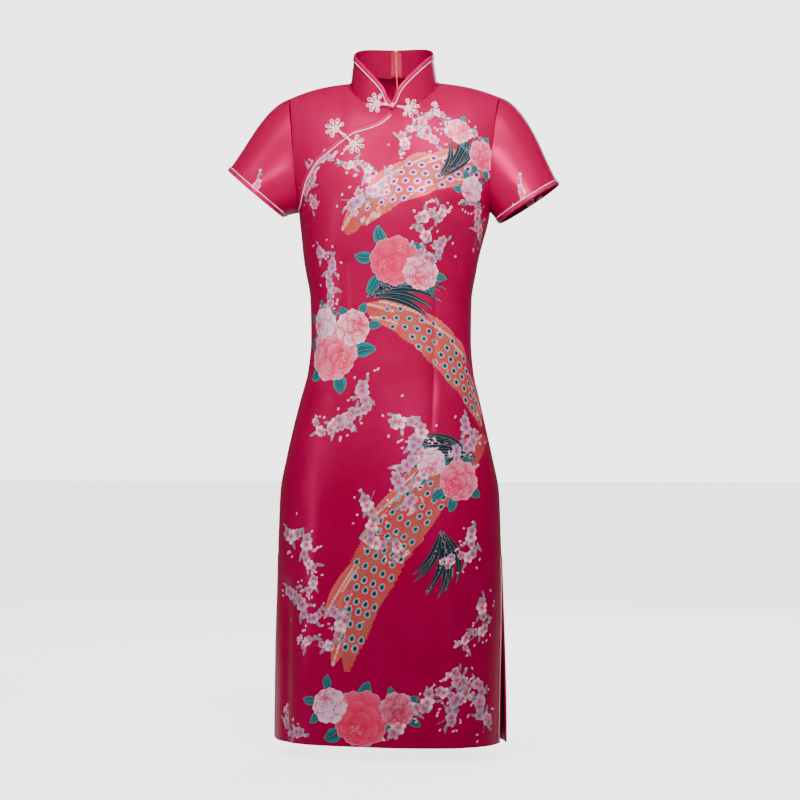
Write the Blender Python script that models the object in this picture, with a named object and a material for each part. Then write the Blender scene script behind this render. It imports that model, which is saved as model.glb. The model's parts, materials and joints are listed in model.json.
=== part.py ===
"""Short-sleeved knee-length satin cheongsam, hollow and filled out as if worn.

Units are metres, +Z is up and the garment's front faces -Y. The origin is the middle of the neck,
level with the points where the shoulder seams meet the collar. The wearer's right is -X.
Every cloth wall is worked out from named sections: each point of a panel is a point of the outer
surface, and its inner side is that point moved in along the surface's normal.
"""

import math

import bmesh
import bpy
import numpy as np
from mathutils import Matrix, Vector
from mathutils.bvhtree import BVHTree

MM = 0.001

# Cloth, seams and trims
CLOTH = 1.2 * MM
COLLAR_CLOTH = 1.8 * MM
SEAM_GAP = 0.3 * MM
BINDING_WIDTH = 6.0 * MM
BINDING_HEIGHT = 0.8 * MM
PIPING_WIDTH = 1.6 * MM
PIPING_HEIGHT = 1.2 * MM
TRIM_INSET = 0.3 * MM
TRIM_LIFT = 0.5 * MM
TRIM_SPACE = TRIM_INSET + BINDING_WIDTH + SEAM_GAP + PIPING_WIDTH + 1.0 * MM

# Heights of the main lines
HEM_Z = -1037 * MM
HEM_TURN = 22 * MM
SLIT_TOP_Z = -745 * MM
WAIST_Z = -408 * MM
UNDERARM_Z = -205 * MM

# Body sections, hem to underarm: half the width at the side seams, depth to the centre front and to
# the centre back, and how much squarer than an ellipse the ring is.
SECTION_COLUMNS = ("z", "half_width", "front", "back", "square")
SECTIONS = (
    (-1037, 180.0, 108, 116, 0.060),
    (-900, 180.0, 109, 119, 0.055),
    (-780, 178.0, 110, 122, 0.050),
    (-700, 175.5, 109, 125, 0.045),
    (-645, 173.0, 107, 125, 0.040),
    (-597, 164.0, 104, 119, 0.035),
    (-550, 153.5, 100, 110, 0.030),
    (-502, 142.0, 95, 99, 0.025),
    (-455, 130.5, 91, 88, 0.020),
    (-408, 126.5, 89, 82, 0.020),
    (-344, 127.5, 93, 82, 0.020),
    (-297, 135.0, 101, 88, 0.020),
    (-250, 143.5, 114.5, 96, 0.020),
    (-215, 149.8, 119, 102.5, 0.020),
    (-205, 151.0, 119, 104, 0.020),
)

# The skirt is turned a little against the chest, as the garment stands in its pose.
SKIRT_TWIST = math.radians(-9)

# How far the waist and the hips stand to the wearer's right of the neck.
WAIST_LEAN = 5.5 * MM
WAIST_LEAN_FROM = 290 * MM
HIP_LEAN = 2.5 * MM
HIP_LEAN_FROM = 560 * MM

# Armhole, underarm to shoulder tip, on each half: share of the way up and the point there.
ARMHOLE_COLUMNS = ("share", "x", "front_y", "back_y", "z")
ARMHOLE = (
    (0.00, 151.0, 0, 0, -205),
    (0.14, 150.5, -26, 28, -194),
    (0.32, 152.0, -46, 50, -166),
    (0.52, 155.0, -53, 60, -126),
    (0.72, 158.5, -46, 54, -84),
    (0.88, 163.0, -29, 36, -47),
    (0.96, 165.5, -12, 17, -30),
    (1.00, 167.0, 2, 2, -24),
)

# Centre lines of the chest and the back, underarm level to neck: share of the way up and the point.
CENTRE_COLUMNS = ("share", "front_y", "front_z", "back_y", "back_z")
CENTRE = (
    (0.00, -119, -205, 104, -205),
    (0.06, -119, -195, 105, -192),
    (0.25, -115.5, -163, 108, -150),
    (0.50, -104, -121, 104, -96),
    (0.75, -90, -82, 86, -42),
    (1.00, -74, -50, 50, 14),
)

# Neck ring and collar
NECK_HALF_WIDTH = 68 * MM
NECK_CENTRE_Y = -8 * MM
NECK_FRONT = 66 * MM
NECK_BACK = 58 * MM
NECK_FRONT_Z = -50 * MM
NECK_SIDE_Z = -2 * MM
NECK_BACK_Z = 14 * MM
COLLAR_HEIGHT = 42.5 * MM
COLLAR_LEAN = math.radians(13)
COLLAR_TAPER = 0.14
COLLAR_FRONT_COLUMNS = ("angle", "height")
COLLAR_FRONT = (
    (0, 13.0),
    (4, 17.0),
    (7, 26.0),
    (12, 35.0),
    (22, 44.0),
    (35, 50.0),
    (50, 53.0),
    (65, 52.0),
    (90, 44.5),
    (115, 43.0),
    (180, 42.5),
)
COLLAR_BACK_PART = 1.4 * MM

# Where the columns of a panel pass from the neckline to the shoulder seam, and where the shoulder
# begins to round over.
NECK_COLUMN = 0.42
ROUND_FROM = 0.45
SHOULDER_RISE = 4 * MM

# Edge of the front's overlap, centre front neck to the wearer's right underarm.
LAPEL_COLUMNS = ("x", "z")
LAPEL = (
    (2, -50),
    (-5, -56),
    (-13, -64),
    (-23, -70),
    (-41, -76.5),
    (-60, -82.5),
    (-78, -95),
    (-103, -115),
    (-115, -124),
    (-125, -137),
    (-138, -160),
    (-151, -201),
)

# Sleeves: cuff centre, slope of the sleeve below level, and the cuff's half height and half depth.
SLEEVE_COLUMNS = ("side", "x", "y", "z", "slope", "half_height", "half_depth")
SLEEVES = (
    (-1, 221, -2, -174, 49.5, 56, 58),
    (1, 213, -2, -192, 57, 56, 58),
)

# Soft forms and the largest folds: on which face, both ends (x, z), width and height. A negative
# height is a trough.
FOLD_COLUMNS = ("face", "x0", "z0", "x1", "z1", "width", "height")
FOLDS = (
    (-1, -66, -178, -66, -190, 46, 11.0),
    (-1, 66, -178, 66, -190, 46, 11.0),
    (-1, 138, -199, 84, -178, 8, 4.5),
    (-1, 136, -183, 92, -168, 6, 2.5),
    (-1, 132, -214, 88, -202, 8, -2.5),
    (-1, -64, -290, -64, -545, 7, -2.0),
    (-1, 74, -290, 74, -545, 7, -2.0),
    (-1, -151, -790, -150, -1040, 9, -5.0),
    (-1, -104, -620, -112, -1040, 26, 3.5),
    (-1, 100, -700, 118, -1040, 24, 3.0),
    (-1, -20, -760, -30, -1040, 30, -2.5),
    (1, -58, -300, -58, -520, 7, -2.0),
    (1, 58, -300, 58, -520, 7, -2.0),
    (1, -70, -690, -84, -1040, 24, -3.5),
    (1, 66, -690, 74, -1040, 26, 3.5),
    (1, -40, -395, 44, -385, 9, 2.0),
    (1, -52, -425, 36, -432, 9, -2.0),
)

# How much of a fold's height goes sideways, and the rows over which folds die out below the shoulder.
FOLD_SIDEWAYS = 0.45
FOLDS_END = (1.55, 1.9)

# Side slits: how far each edge stands off its neighbour at the hem, and how far it swings out.
SLIT_PART = 7 * MM
SLIT_SWING_COLUMNS = ("face", "side", "swing")
SLIT_SWING = ((-1, -1, 5), (-1, 1, -2), (1, -1, -3), (1, 1, 6))

# Back zip, closed to the top of the collar
ZIP_END_Z = -430 * MM
ZIP_TAPE_THICKNESS = 0.8 * MM
SLIDER_DROP = 8 * MM
SLIDER_LIFT = 2.0 * MM
SLIDER_SIZE = (5.0 * MM, 2.4 * MM, 9.0 * MM)
POST_X = 2.3 * MM
POST_RADIUS = 0.5 * MM
BAR_RADIUS = 0.5 * MM
BAR_OUT = 2.6 * MM
TAB_EYE_RADIUS = 1.5 * MM
TAB_EYE_HOLE = 0.85 * MM
TAB_EYE_LENGTH = 2.8 * MM
TAB_NECK = 5 * MM
TAB_LENGTH = 24 * MM
TAB_WIDTH = 6 * MM
TAB_THICKNESS = 1.0 * MM
TAB_REST = math.radians(12)

# Frog fastenings: centre of the knot (x, z), the way the pair runs in degrees above level, and how
# far each flower's centre lies from the knot.
FROG_COLUMNS = ("name", "x", "z", "tilt", "reach")
FROGS = (
    ("collar", 2.5, -44.0, -9, 24.5),
    ("lapel", -71.0, -92.0, -40, 19.0),
)
FROG_CORD = 0.85 * MM
LAY_REACH = 6
KNOT_RADIUS = 3.6 * MM
COIL_OUT = 12.5
# A flower's rim, in millimetres and degrees from its coil's middle: how far out it runs, how deep its
# five lobes are and where it starts and ends. The coil inside it grows from its first radius.
RIM_OUT = 12.2
RIM_LOBES = 2.0
RIM_FROM = -112
RIM_TO = 118
RIM_STEPS = 24
COIL_FROM = 1.5
COIL_GROWS = 4.0
COIL_TURN = 330
COIL_STEPS = 11

# Grid lines. The top row stops just short of the shoulder and the neck.
TOP_ROW = 2 - 8e-4
# Cloth per column at the side seams and the centre back, and per row on the small front.
SIDE_REACH = 236 * MM
CENTRE_REACH = 160 * MM
UPPER_REACH = 150 * MM
FIRST_COLUMN = 0.022
LAPEL_STEPS = 12
LOWER_ROWS = 18
UPPER_ROWS = 8
# The small front's last column runs to this share of the front's first one, beside the centre.
LAST_SHARE = 0.36
SLEEVE_AROUND = 28
SLEEVE_ROWS = 6
COLLAR_ROWS = 3


def columns_of(names, rows):
    """A table's columns as arrays, by name."""
    return dict(zip(names, np.array(rows, float).T))


def smooth_line(xs, ys, x):
    """Monotone cubic through the table's points, which never swings past them."""
    x = np.clip(np.asarray(x, float), xs[0], xs[-1])
    steps = np.diff(xs)
    slopes = np.diff(ys) / steps
    tangents = np.zeros(len(xs))
    tangents[0], tangents[-1] = slopes[0], slopes[-1]
    for i in range(1, len(xs) - 1):
        if slopes[i - 1] * slopes[i] > 0:
            w0, w1 = 2 * steps[i] + steps[i - 1], steps[i] + 2 * steps[i - 1]
            tangents[i] = (w0 + w1) / (w0 / slopes[i - 1] + w1 / slopes[i])
    i = np.clip(np.searchsorted(xs, x, side="right") - 1, 0, len(steps) - 1)
    t = (x - xs[i]) / steps[i]
    h = steps[i]
    return (
        ys[i] * (2 * t**3 - 3 * t**2 + 1)
        + tangents[i] * h * (t**3 - 2 * t**2 + t)
        + ys[i + 1] * (3 * t**2 - 2 * t**3)
        + tangents[i + 1] * h * (t**3 - t**2)
    )


def ramp(x, low, high):
    """Smooth step from 0 at low to 1 at high."""
    t = np.clip((np.asarray(x, float) - low) / (high - low), 0, 1)
    return t * t * (3 - 2 * t)


SECTION = columns_of(SECTION_COLUMNS, SECTIONS)
ARM = columns_of(ARMHOLE_COLUMNS, ARMHOLE)
MIDDLE = columns_of(CENTRE_COLUMNS, CENTRE)
FRONT_EDGE = columns_of(COLLAR_FRONT_COLUMNS, COLLAR_FRONT)
LAPEL_LINE = columns_of(LAPEL_COLUMNS, LAPEL)


def section(name, z):
    """One section value at height z, in metres apart from the squareness."""
    value = smooth_line(SECTION["z"] * MM, SECTION[name], z)
    return value if name == "square" else value * MM


def neck_point(angle):
    """Point of the neck ring, at an angle from the centre front, positive to +X."""
    c, s = np.cos(angle), np.sin(angle)
    depth = np.where(c > 0, NECK_FRONT, NECK_BACK)
    even = (NECK_FRONT_Z + NECK_BACK_Z) / 2
    mean, sway = (even + NECK_SIDE_Z) / 2, (even - NECK_SIDE_Z) / 2
    z = mean + (NECK_FRONT_Z - NECK_BACK_Z) / 2 * c + sway * np.cos(2 * angle)
    return np.stack([NECK_HALF_WIDTH * s, NECK_CENTRE_Y - depth * c, z], -1)


def relief(face, x, z):
    """How far the soft forms and folds stand out from the plain surface."""
    out = np.zeros(np.broadcast(x, z).shape)
    for row in FOLDS:
        fold = dict(zip(FOLD_COLUMNS, row))
        if fold["face"] != face:
            continue
        start = np.array([fold["x0"], fold["z0"]]) * MM
        along = np.array([fold["x1"], fold["z1"]]) * MM - start
        share = ((x - start[0]) * along[0] + (z - start[1]) * along[1]) / (along @ along)
        held = np.clip(share, 0, 1)
        off = np.hypot(x - start[0] - held * along[0], z - start[1] - held * along[1])
        swell = 0.55 + 0.45 * np.sin(math.pi * np.clip(held, 0.0, 1.0))
        out += fold["height"] * MM * swell * np.exp(-((off / (fold["width"] * MM)) ** 2))
    return out


def lower_point(face, column, z):
    """Outer surface between the hem and the underarm."""
    width, square = section("half_width", z), section("square", z)
    depth = section("front" if face < 0 else "back", z)
    opened = ramp(-z, -SLIT_TOP_Z, -HEM_Z)
    angle = column * (math.pi / 2 - SLIT_PART * opened / width)
    boost = 1 + square * np.sin(math.pi * column) ** 2
    x = width * np.sin(angle) * boost
    y = face * depth * np.cos(angle) * boost
    for row in SLIT_SWING:
        swing = dict(zip(SLIT_SWING_COLUMNS, row))
        if swing["face"] == face:
            at_edge = ramp(column * swing["side"], 0.72, 1.0)
            x = x + swing["side"] * swing["swing"] * MM * opened * at_edge
    return x, y


def upper_point(face, column, share):
    """Outer surface between the underarm and the shoulder seam or the neckline."""
    side = np.sign(column)
    s = np.abs(column)
    edge_x = smooth_line(ARM["share"], ARM["x"], share) * MM
    edge_y = smooth_line(ARM["share"], ARM["front_y" if face < 0 else "back_y"], share) * MM
    edge_z = smooth_line(ARM["share"], ARM["z"], share) * MM
    mid_y = smooth_line(MIDDLE["share"], MIDDLE["front_y" if face < 0 else "back_y"], share) * MM
    mid_z = smooth_line(MIDDLE["share"], MIDDLE["front_z" if face < 0 else "back_z"], share) * MM
    depth = np.abs(mid_y)
    end = np.arccos(np.clip(face * edge_y / depth, -1, 1))
    boost = 1 + section("square", UNDERARM_Z) * np.sin(math.pi * s) ** 2
    x = edge_x / np.sin(end) * np.sin(s * end) * boost
    y = face * depth * np.cos(s * end) * boost
    z = mid_z + (edge_z - mid_z) * s**2
    at_neck = neck_point(np.where(face < 0, 0, math.pi) - face * np.minimum(s / NECK_COLUMN, 1) * math.pi / 2)
    along = np.clip((s - NECK_COLUMN) / (1 - NECK_COLUMN), 0, 1)[..., None]
    neck_side = neck_point(np.array(math.pi / 2))
    tip = np.array([ARM["x"][-1], ARM["front_y"][-1], ARM["z"][-1]]) * MM
    seam = neck_side + (tip - neck_side) * along
    seam[..., 2] += SHOULDER_RISE * np.sin(math.pi * along[..., 0])
    top = np.where((s < NECK_COLUMN)[..., None], at_neck, seam)
    quarter = np.clip((share - ROUND_FROM) / (1 - ROUND_FROM), 0, 1) * math.pi / 2
    x = x + (np.abs(top[..., 0]) - x) * (1 - np.cos(quarter))
    y = y + (top[..., 1] - y) * (1 - np.cos(quarter))
    z = z + (top[..., 2] - z) * np.sin(quarter) ** 2
    return side * x, y, z


def body_point(face, column, row):
    """Outer surface of the body. row runs 0 to 1 from the hem to the underarm and 1 to 2 above it."""
    column, row = np.broadcast_arrays(np.asarray(column, float), np.asarray(row, float))
    z_low = HEM_Z + (UNDERARM_Z - HEM_Z) * np.clip(row, -0.1, 1)
    x_low, y_low = lower_point(face, column, z_low)
    x_up, y_up, z_up = upper_point(face, column, np.clip(row - 1, 0, 1))
    above = row > 1
    x = np.where(above, x_up, x_low)
    y = np.where(above, y_up, y_low)
    z = np.where(above, z_up, z_low)
    away = np.stack([x * FOLD_SIDEWAYS, y], -1)
    away /= np.linalg.norm(away, axis=-1, keepdims=True) + 1e-9
    fade = 1 - np.clip(np.abs(column), 0, 1) ** 6
    fade = fade * (1 - ramp(row, *FOLDS_END))
    stand = relief(face, x, z) * fade
    x, y = x + away[..., 0] * stand, y + away[..., 1] * stand
    turn = SKIRT_TWIST * ramp(-z, -WAIST_Z, -HEM_Z)
    lean = WAIST_LEAN * ramp(-z, -UNDERARM_Z, WAIST_LEAN_FROM) + HIP_LEAN * ramp(-z, -WAIST_Z, HIP_LEAN_FROM)
    x, y = x * np.cos(turn) - y * np.sin(turn) - lean, x * np.sin(turn) + y * np.cos(turn)
    return np.stack([x, y, z], -1)


def slopes_of(surface, u, v):
    """Both tangents of a surface by small steps, kept inside 0 to 2 for v."""
    step = 2e-3
    lower_v, upper_v = np.maximum(v - step, 0), np.minimum(v + step, 2)
    along_u = (surface(u + step, v) - surface(u - step, v)) / (2 * step)
    along_v = (surface(u, upper_v) - surface(u, lower_v)) / (upper_v - lower_v)[..., None]
    return along_u, along_v


def unit(vectors):
    return vectors / (np.linalg.norm(vectors, axis=-1, keepdims=True) + 1e-12)


def body_normal(face, column, row):
    """Outward normal of the body's outer surface."""
    column, row = np.broadcast_arrays(np.asarray(column, float), np.asarray(row, float))
    along_u, along_v = slopes_of(lambda u, v: body_point(face, u, v), column, row)
    return unit(np.cross(along_u, along_v)) * -face


def row_of_height(z):
    return (np.asarray(z, float) - HEM_Z) / (UNDERARM_Z - HEM_Z)


def lapel_row(column):
    """Row at which a column of the wearer's right front meets the overlap's edge."""
    column = np.asarray(column, float)
    low, high = np.ones_like(column), np.full_like(column, 2.0)
    for _ in range(40):
        middle = (low + high) / 2
        point = body_point(-1, column, middle)
        line = smooth_line(LAPEL_LINE["x"][::-1] * MM, LAPEL_LINE["z"][::-1] * MM, point[..., 0])
        under = point[..., 2] < line
        low, high = np.where(under, middle, low), np.where(under, high, middle)
    return (low + high) / 2


def material(name, colour, roughness, metallic=0.0):
    made = bpy.data.materials.new(name)
    made.use_nodes = True
    shader = made.node_tree.nodes["Principled BSDF"]
    shader.inputs["Base Color"].default_value = (*colour, 1.0)
    shader.inputs["Roughness"].default_value = roughness
    shader.inputs["Metallic"].default_value = metallic
    made.diffuse_color = (*colour, 1.0)
    return made


def node(name, mesh, finish):
    """One named object of the garment, in the garment's own collection."""
    made = bpy.data.objects.new(name, mesh)
    made.data.materials.append(finish)
    bpy.data.collections["cheongsam"].objects.link(made)
    return made


def wall(name, outer, inner, finish, around=False):
    """A closed wall between two grids of points, rows by columns. around joins last column to first."""
    rows, cols = outer.shape[:2]
    mesh = bmesh.new()
    sides = [[[mesh.verts.new(p) for p in line] for line in grid] for grid in (outer, inner)]
    wrap = cols if around else cols - 1
    for k, grid in enumerate(sides):
        for i in range(rows - 1):
            for j in range(wrap):
                a, b = grid[i][j], grid[i][(j + 1) % cols]
                c, d = grid[i + 1][(j + 1) % cols], grid[i + 1][j]
                for corners in ((a, b, c), (a, c, d)):
                    mesh.faces.new(corners if k == 0 else corners[::-1])
    front, back = sides
    for j in range(wrap):
        n = (j + 1) % cols
        mesh.faces.new((front[0][n], front[0][j], back[0][j], back[0][n]))
        mesh.faces.new((front[-1][j], front[-1][n], back[-1][n], back[-1][j]))
    for i in range(0 if around else rows - 1):
        mesh.faces.new((front[i][0], front[i + 1][0], back[i + 1][0], back[i][0]))
        mesh.faces.new((front[i + 1][-1], front[i][-1], back[i][-1], back[i + 1][-1]))
    bmesh.ops.triangulate(mesh, faces=[f for f in mesh.faces if len(f.verts) == 4])
    if mesh.calc_volume(signed=True) < 0:
        bmesh.ops.reverse_faces(mesh, faces=mesh.faces)
    data = bpy.data.meshes.new(name)
    mesh.to_mesh(data)
    mesh.free()
    return node(name, data, finish)


def body_grid(face, columns, rows):
    """Points and normals of the body's surface at each row and column."""
    columns = np.broadcast_to(columns, rows.shape)
    return body_point(face, columns, rows), body_normal(face, columns, rows)


def panel(name, grid, finish, thickness=CLOTH, around=False):
    """A cloth panel: its outer side is the grid and its inner side the grid moved in."""
    points, normals = grid
    wall(name, points, points - normals * thickness, finish, around)


def trims(name, edge, inner, binding_finish, piping_finish, around=False):
    """The satin binding along a panel's edge, with the thin light piping inside it. Both lie on the
    panel's own points: edge is its border and inner its next line, as points and normals."""

    def line(inset):
        share = inset / TRIM_SPACE
        return [a + (b - a) * share for a, b in zip(edge, inner)]

    start = TRIM_INSET
    for part, width, height, finish in (
        ("binding", BINDING_WIDTH, BINDING_HEIGHT, binding_finish),
        ("piping", PIPING_WIDTH, PIPING_HEIGHT, piping_finish),
    ):
        (near, near_up), (far, far_up) = line(start), line(start + width)
        low, high = TRIM_LIFT, TRIM_LIFT + height
        outer = np.stack([near + near_up * high, far + far_up * high])
        under = np.stack([near + near_up * low, far + far_up * low])
        wall(f"{name}_{part}", outer, under, finish, around)
        start += width + SEAM_GAP


def column_lines():
    """Columns shared by the panels: even ones, the neck's corner, the trims' line and the edge."""
    edge = 1 - SEAM_GAP / 2 / SIDE_REACH
    inner = edge - TRIM_SPACE / SIDE_REACH
    even = np.linspace(0.07, 0.91, 11)
    even[np.argmin(np.abs(even - NECK_COLUMN))] = NECK_COLUMN
    return np.concatenate([[FIRST_COLUMN, 2 * FIRST_COLUMN], even, [inner, edge]])


def back_columns():
    """Columns of half the back, which starts beside the zip's teeth."""
    return np.concatenate([[SEAM_GAP / 2 / CENTRE_REACH], column_lines()])


def body_rows():
    """Rows from the hem to the top, with lines at the hem's turn, the slit's top and the armhole."""
    lower = np.linspace(0, 1, LOWER_ROWS + 1)[:-1]
    lower[1] = row_of_height(HEM_Z + HEM_TURN)
    lower[np.argmin(np.abs(lower - row_of_height(SLIT_TOP_Z)))] = row_of_height(SLIT_TOP_Z)
    upper = 1 + np.linspace(0, 1, UPPER_ROWS + 1) ** 0.92 * (TOP_ROW - 1)
    return np.concatenate([lower, upper])


def make_front(finish):
    """The main front, one piece from the wearer's left side seam to the overlap's edge."""
    half = column_lines()
    columns = np.concatenate([-half[::-1], [0.0], half])
    rows = np.multiply.outer(body_rows(), np.ones(len(columns)))
    columns = np.broadcast_to(columns, rows.shape).copy()
    crossing = columns[0] < -FIRST_COLUMN / 2
    edge_columns = columns[0][crossing]
    edge_rows = np.minimum(lapel_row(edge_columns), TOP_ROW)
    inner_columns, inner_rows = inside_lapel(edge_columns, edge_rows)
    waist = row_of_height(WAIST_Z)
    standard = body_rows()
    reach = np.clip((standard - waist) / (standard[-2] - waist), 0, 1)[:, None]
    rows[:, crossing] += reach * (inner_rows - standard[-2])
    columns[:, crossing] += reach**3 * (inner_columns - edge_columns)
    rows[-1, crossing], columns[-1, crossing] = edge_rows, edge_columns
    grid = body_grid(-1, columns, rows)
    panel("front", grid, finish)
    return grid, edge_columns, edge_rows


def inside_lapel(columns, rows):
    """The line inside the overlap's edge that carries its trims: square to the edge, in short steps
    over the surface. At the side seam it stays on the seam, as far from the edge as elsewhere."""
    start = body_point(-1, columns, rows)
    square = unit(np.cross(unit(np.gradient(start, axis=0)), body_normal(-1, columns, rows)))
    step = square * np.sign(-square[..., 2:3]) * TRIM_SPACE / LAPEL_STEPS
    u, v = columns, rows
    for _ in range(LAPEL_STEPS):
        du, dv = slopes_of(lambda a, b: body_point(-1, a, b), u, v)
        uu, uv, vv = [(a * b).sum(-1) for a, b in ((du, du), (du, dv), (dv, dv))]
        su, sv = (step * du).sum(-1), (step * dv).sum(-1)
        det = uu * vv - uv * uv
        u, v = u + (su * vv - sv * uv) / det, v + (sv * uu - su * uv) / det
    down = np.linspace(rows[0], row_of_height(UNDERARM_Z - 8 * TRIM_SPACE), 200)
    seam = body_point(-1, np.full(200, columns[0]), down)
    finer = np.linspace(columns[0], columns[4], 60)
    edge = body_point(-1, finer, lapel_row(finer))
    away = np.linalg.norm(seam[:, None] - edge, axis=-1).min(axis=1)
    u[0], v[0] = columns[0], down[np.argmax(away >= TRIM_SPACE)]
    return u, v


def make_front_upper(columns, lapel, finish):
    """The small front under the overlap, from its edge up to the shoulder and the neckline."""
    columns = np.append(columns, columns[-1] * LAST_SHARE)
    lapel = np.append(lapel, TOP_ROW + (lapel[-1] - TOP_ROW) * LAST_SHARE)
    start = lapel + SEAM_GAP / UPPER_REACH
    shares = np.linspace(0, 1, UPPER_ROWS)
    rows = start + np.multiply.outer(shares, TOP_ROW - start)
    panel("front_upper", body_grid(-1, columns, rows), finish)


def make_back(side, finish):
    """One half of the back, from the centre back zip to the side seam."""
    columns = back_columns() * side
    rows = np.multiply.outer(body_rows(), np.ones(len(columns)))
    grid = body_grid(1, columns, rows)
    panel("back_left" if side > 0 else "back_right", grid, finish)
    return grid


def slit_trims(name, grid, at_end, binding_finish, piping_finish):
    """Trims down a panel's side edge from the slit's top to the hem."""
    below = body_rows() < row_of_height(SLIT_TOP_Z) + 1e-6
    edge, inner = (-1, -2) if at_end else (0, 1)
    lines = [[values[below, column] for values in grid] for column in (edge, inner)]
    trims(name, *lines, binding_finish, piping_finish)


def sleeve_surface(values):
    """Outer surface of one sleeve: around runs 0 to 1 from the shoulder tip down the front and up
    the back, out runs 0 to 1 from the armhole to the cuff."""
    side = values["side"]
    slope = math.radians(values["slope"])
    axis = np.array([side * math.cos(slope), 0, -math.sin(slope)])
    up = np.array([side * math.sin(slope), 0, math.cos(slope)])
    centre = np.array([side * values["x"], values["y"], values["z"]]) * MM

    def surface(around, out):
        around, out = np.broadcast_arrays(np.asarray(around, float) % 1.0, np.asarray(out, float))
        front = around < 0.5
        share = np.where(front, 1 - 2 * around, 2 * around - 1)
        start = np.stack(
            [
                side * smooth_line(ARM["share"], ARM["x"], share),
                np.where(
                    front,
                    smooth_line(ARM["share"], ARM["front_y"], share),
                    smooth_line(ARM["share"], ARM["back_y"], share),
                ),
                smooth_line(ARM["share"], ARM["z"], share),
            ],
            -1,
        ) * MM
        turn = around * 2 * math.pi
        end = (
            centre
            + up * (values["half_height"] * MM * np.cos(turn))[..., None]
            + np.array([0, -1, 0]) * (values["half_depth"] * MM * np.sin(turn))[..., None]
        )
        top = np.clip(np.cos(turn), 0, 1)[..., None]
        low = np.clip(-np.cos(turn), 0, 1)[..., None] ** 0.7
        level = np.array([side, 0, -0.32])
        reach = np.linalg.norm(end - start, axis=-1, keepdims=True)
        straight = (end - start) / reach
        leave = unit(axis * (1 - top - low) + level * top + straight * low)
        arrive = unit(axis * (1 - low) + straight * low)
        t = out[..., None]
        pull, push = leave * reach * (0.75 + 0.15 * top), arrive * reach * 0.8
        point = (
            start * (2 * t**3 - 3 * t**2 + 1)
            + pull * (t**3 - 2 * t**2 + t)
            + end * (3 * t**2 - 2 * t**3)
            + push * (t**3 - t**2)
        )
        return point

    def normal(around, out):
        around, out = np.broadcast_arrays(np.asarray(around, float), np.asarray(out, float))
        step = 2e-3
        low, high = np.maximum(out - step, 0), np.minimum(out + step, 1)
        along_u = surface(around + step, out) - surface(around - step, out)
        along_v = (surface(around, high) - surface(around, low)) / (high - low)[..., None]
        return unit(np.cross(along_u, along_v)) * side

    return surface, normal


def even_around(surface):
    """Stations round a sleeve, evenly spaced between the armhole's arc and the cuff's, as shares."""
    fine = np.linspace(0, 1, 721)
    ring = surface(fine, np.full(fine.shape, 0.5))
    run = np.concatenate([[0], np.cumsum(np.linalg.norm(np.diff(ring, axis=0), axis=1))])
    return np.interp(np.arange(SLEEVE_AROUND) / SLEEVE_AROUND * run[-1], run, fine)


def make_sleeve(values, finish, binding_finish, piping_finish):
    """One set-in short sleeve with its bound and piped cuff."""
    surface, normal = sleeve_surface(values)
    around = even_around(surface)

    def speed(low, high):
        ends = surface(around, np.full(len(around), high)) - surface(around, np.full(len(around), low))
        return np.linalg.norm(ends, axis=-1) / (high - low)

    begin = SEAM_GAP / speed(0, 0.02)
    inner = 1 - TRIM_SPACE / speed(0.8, 1)
    shares = np.linspace(0, 1, SLEEVE_ROWS)
    out = begin + np.multiply.outer(shares, inner - begin)
    out = np.concatenate([out, np.ones((1, len(around)))])
    ring = np.broadcast_to(around, out.shape)
    points, normals = surface(ring, out), normal(ring, out)
    name = "left" if values["side"] > 0 else "right"
    panel("sleeve_" + name, (points, normals), finish, around=True)
    lines = [(points[row], normals[row]) for row in (-1, -2)]
    trims("cuff_" + name, *lines, binding_finish, piping_finish, around=True)


def collar_height(angle):
    return smooth_line(FRONT_EDGE["angle"], FRONT_EDGE["height"], np.degrees(np.abs(angle))) * MM


def neck_stops():
    """Angles at which the panels' columns meet the neck ring, right round from back to back."""
    quarter = np.append(0, column_lines()) / NECK_COLUMN * math.pi / 2
    quarter = quarter[quarter < math.pi / 2 + 1e-6]
    half = np.concatenate([quarter, math.pi - quarter[-2::-1]])
    return np.concatenate([-half[:0:-1], half])


def neck_line(angle):
    """The neck ring as the panels' columns draw it, straight from one column to the next."""
    stops = neck_stops()
    points = neck_point(stops)
    return np.stack([np.interp(angle, stops, points[:, k]) for k in range(3)], -1)


def collar_point(angle, height):
    """Outer surface of the standing collar, a height above the neck ring."""
    base = neck_line(angle) + np.array([0, 0, SEAM_GAP])
    radial = unit(np.stack([np.sin(angle), -np.cos(angle), np.zeros_like(angle)], -1))
    rise = np.array([0, -math.sin(COLLAR_LEAN), math.cos(COLLAR_LEAN)])
    return base + (rise - radial * COLLAR_TAPER) * np.asarray(height)[..., None]


def collar_normal(angle, height):
    step = 1e-3
    along_u = collar_point(angle + step, height) - collar_point(angle - step, height)
    along_v = collar_point(angle, height + MM) - collar_point(angle, height)
    return unit(np.cross(along_u, along_v))


def collar_grid(side):
    """Points and normals of one collar half, centre front to centre back, neck seam to rim. The
    halves part a little towards the top of the back."""
    stops = neck_stops()
    stops = stops[stops >= 0]
    angles = np.sort(np.concatenate([stops, (stops[3:-1] + stops[4:]) / 2]))
    angles[0] = 0.6 * MM / NECK_FRONT
    top = collar_height(angles)
    run = np.linalg.norm(np.gradient(neck_line(angles), axis=0), axis=-1)
    steep = np.hypot(1, np.gradient(top) / run)
    inner = top - np.minimum(TRIM_SPACE * steep, top * 0.75)
    heights = np.concatenate([np.multiply.outer(np.linspace(0, 1, COLLAR_ROWS), inner), [top]])
    angles = np.broadcast_to(angles, heights.shape).copy()
    angles[:, -1] = math.pi - (SEAM_GAP + COLLAR_BACK_PART * heights[:, -1] / COLLAR_HEIGHT) / NECK_BACK
    return collar_point(angles * side, heights), collar_normal(angles * side, heights)


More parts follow.
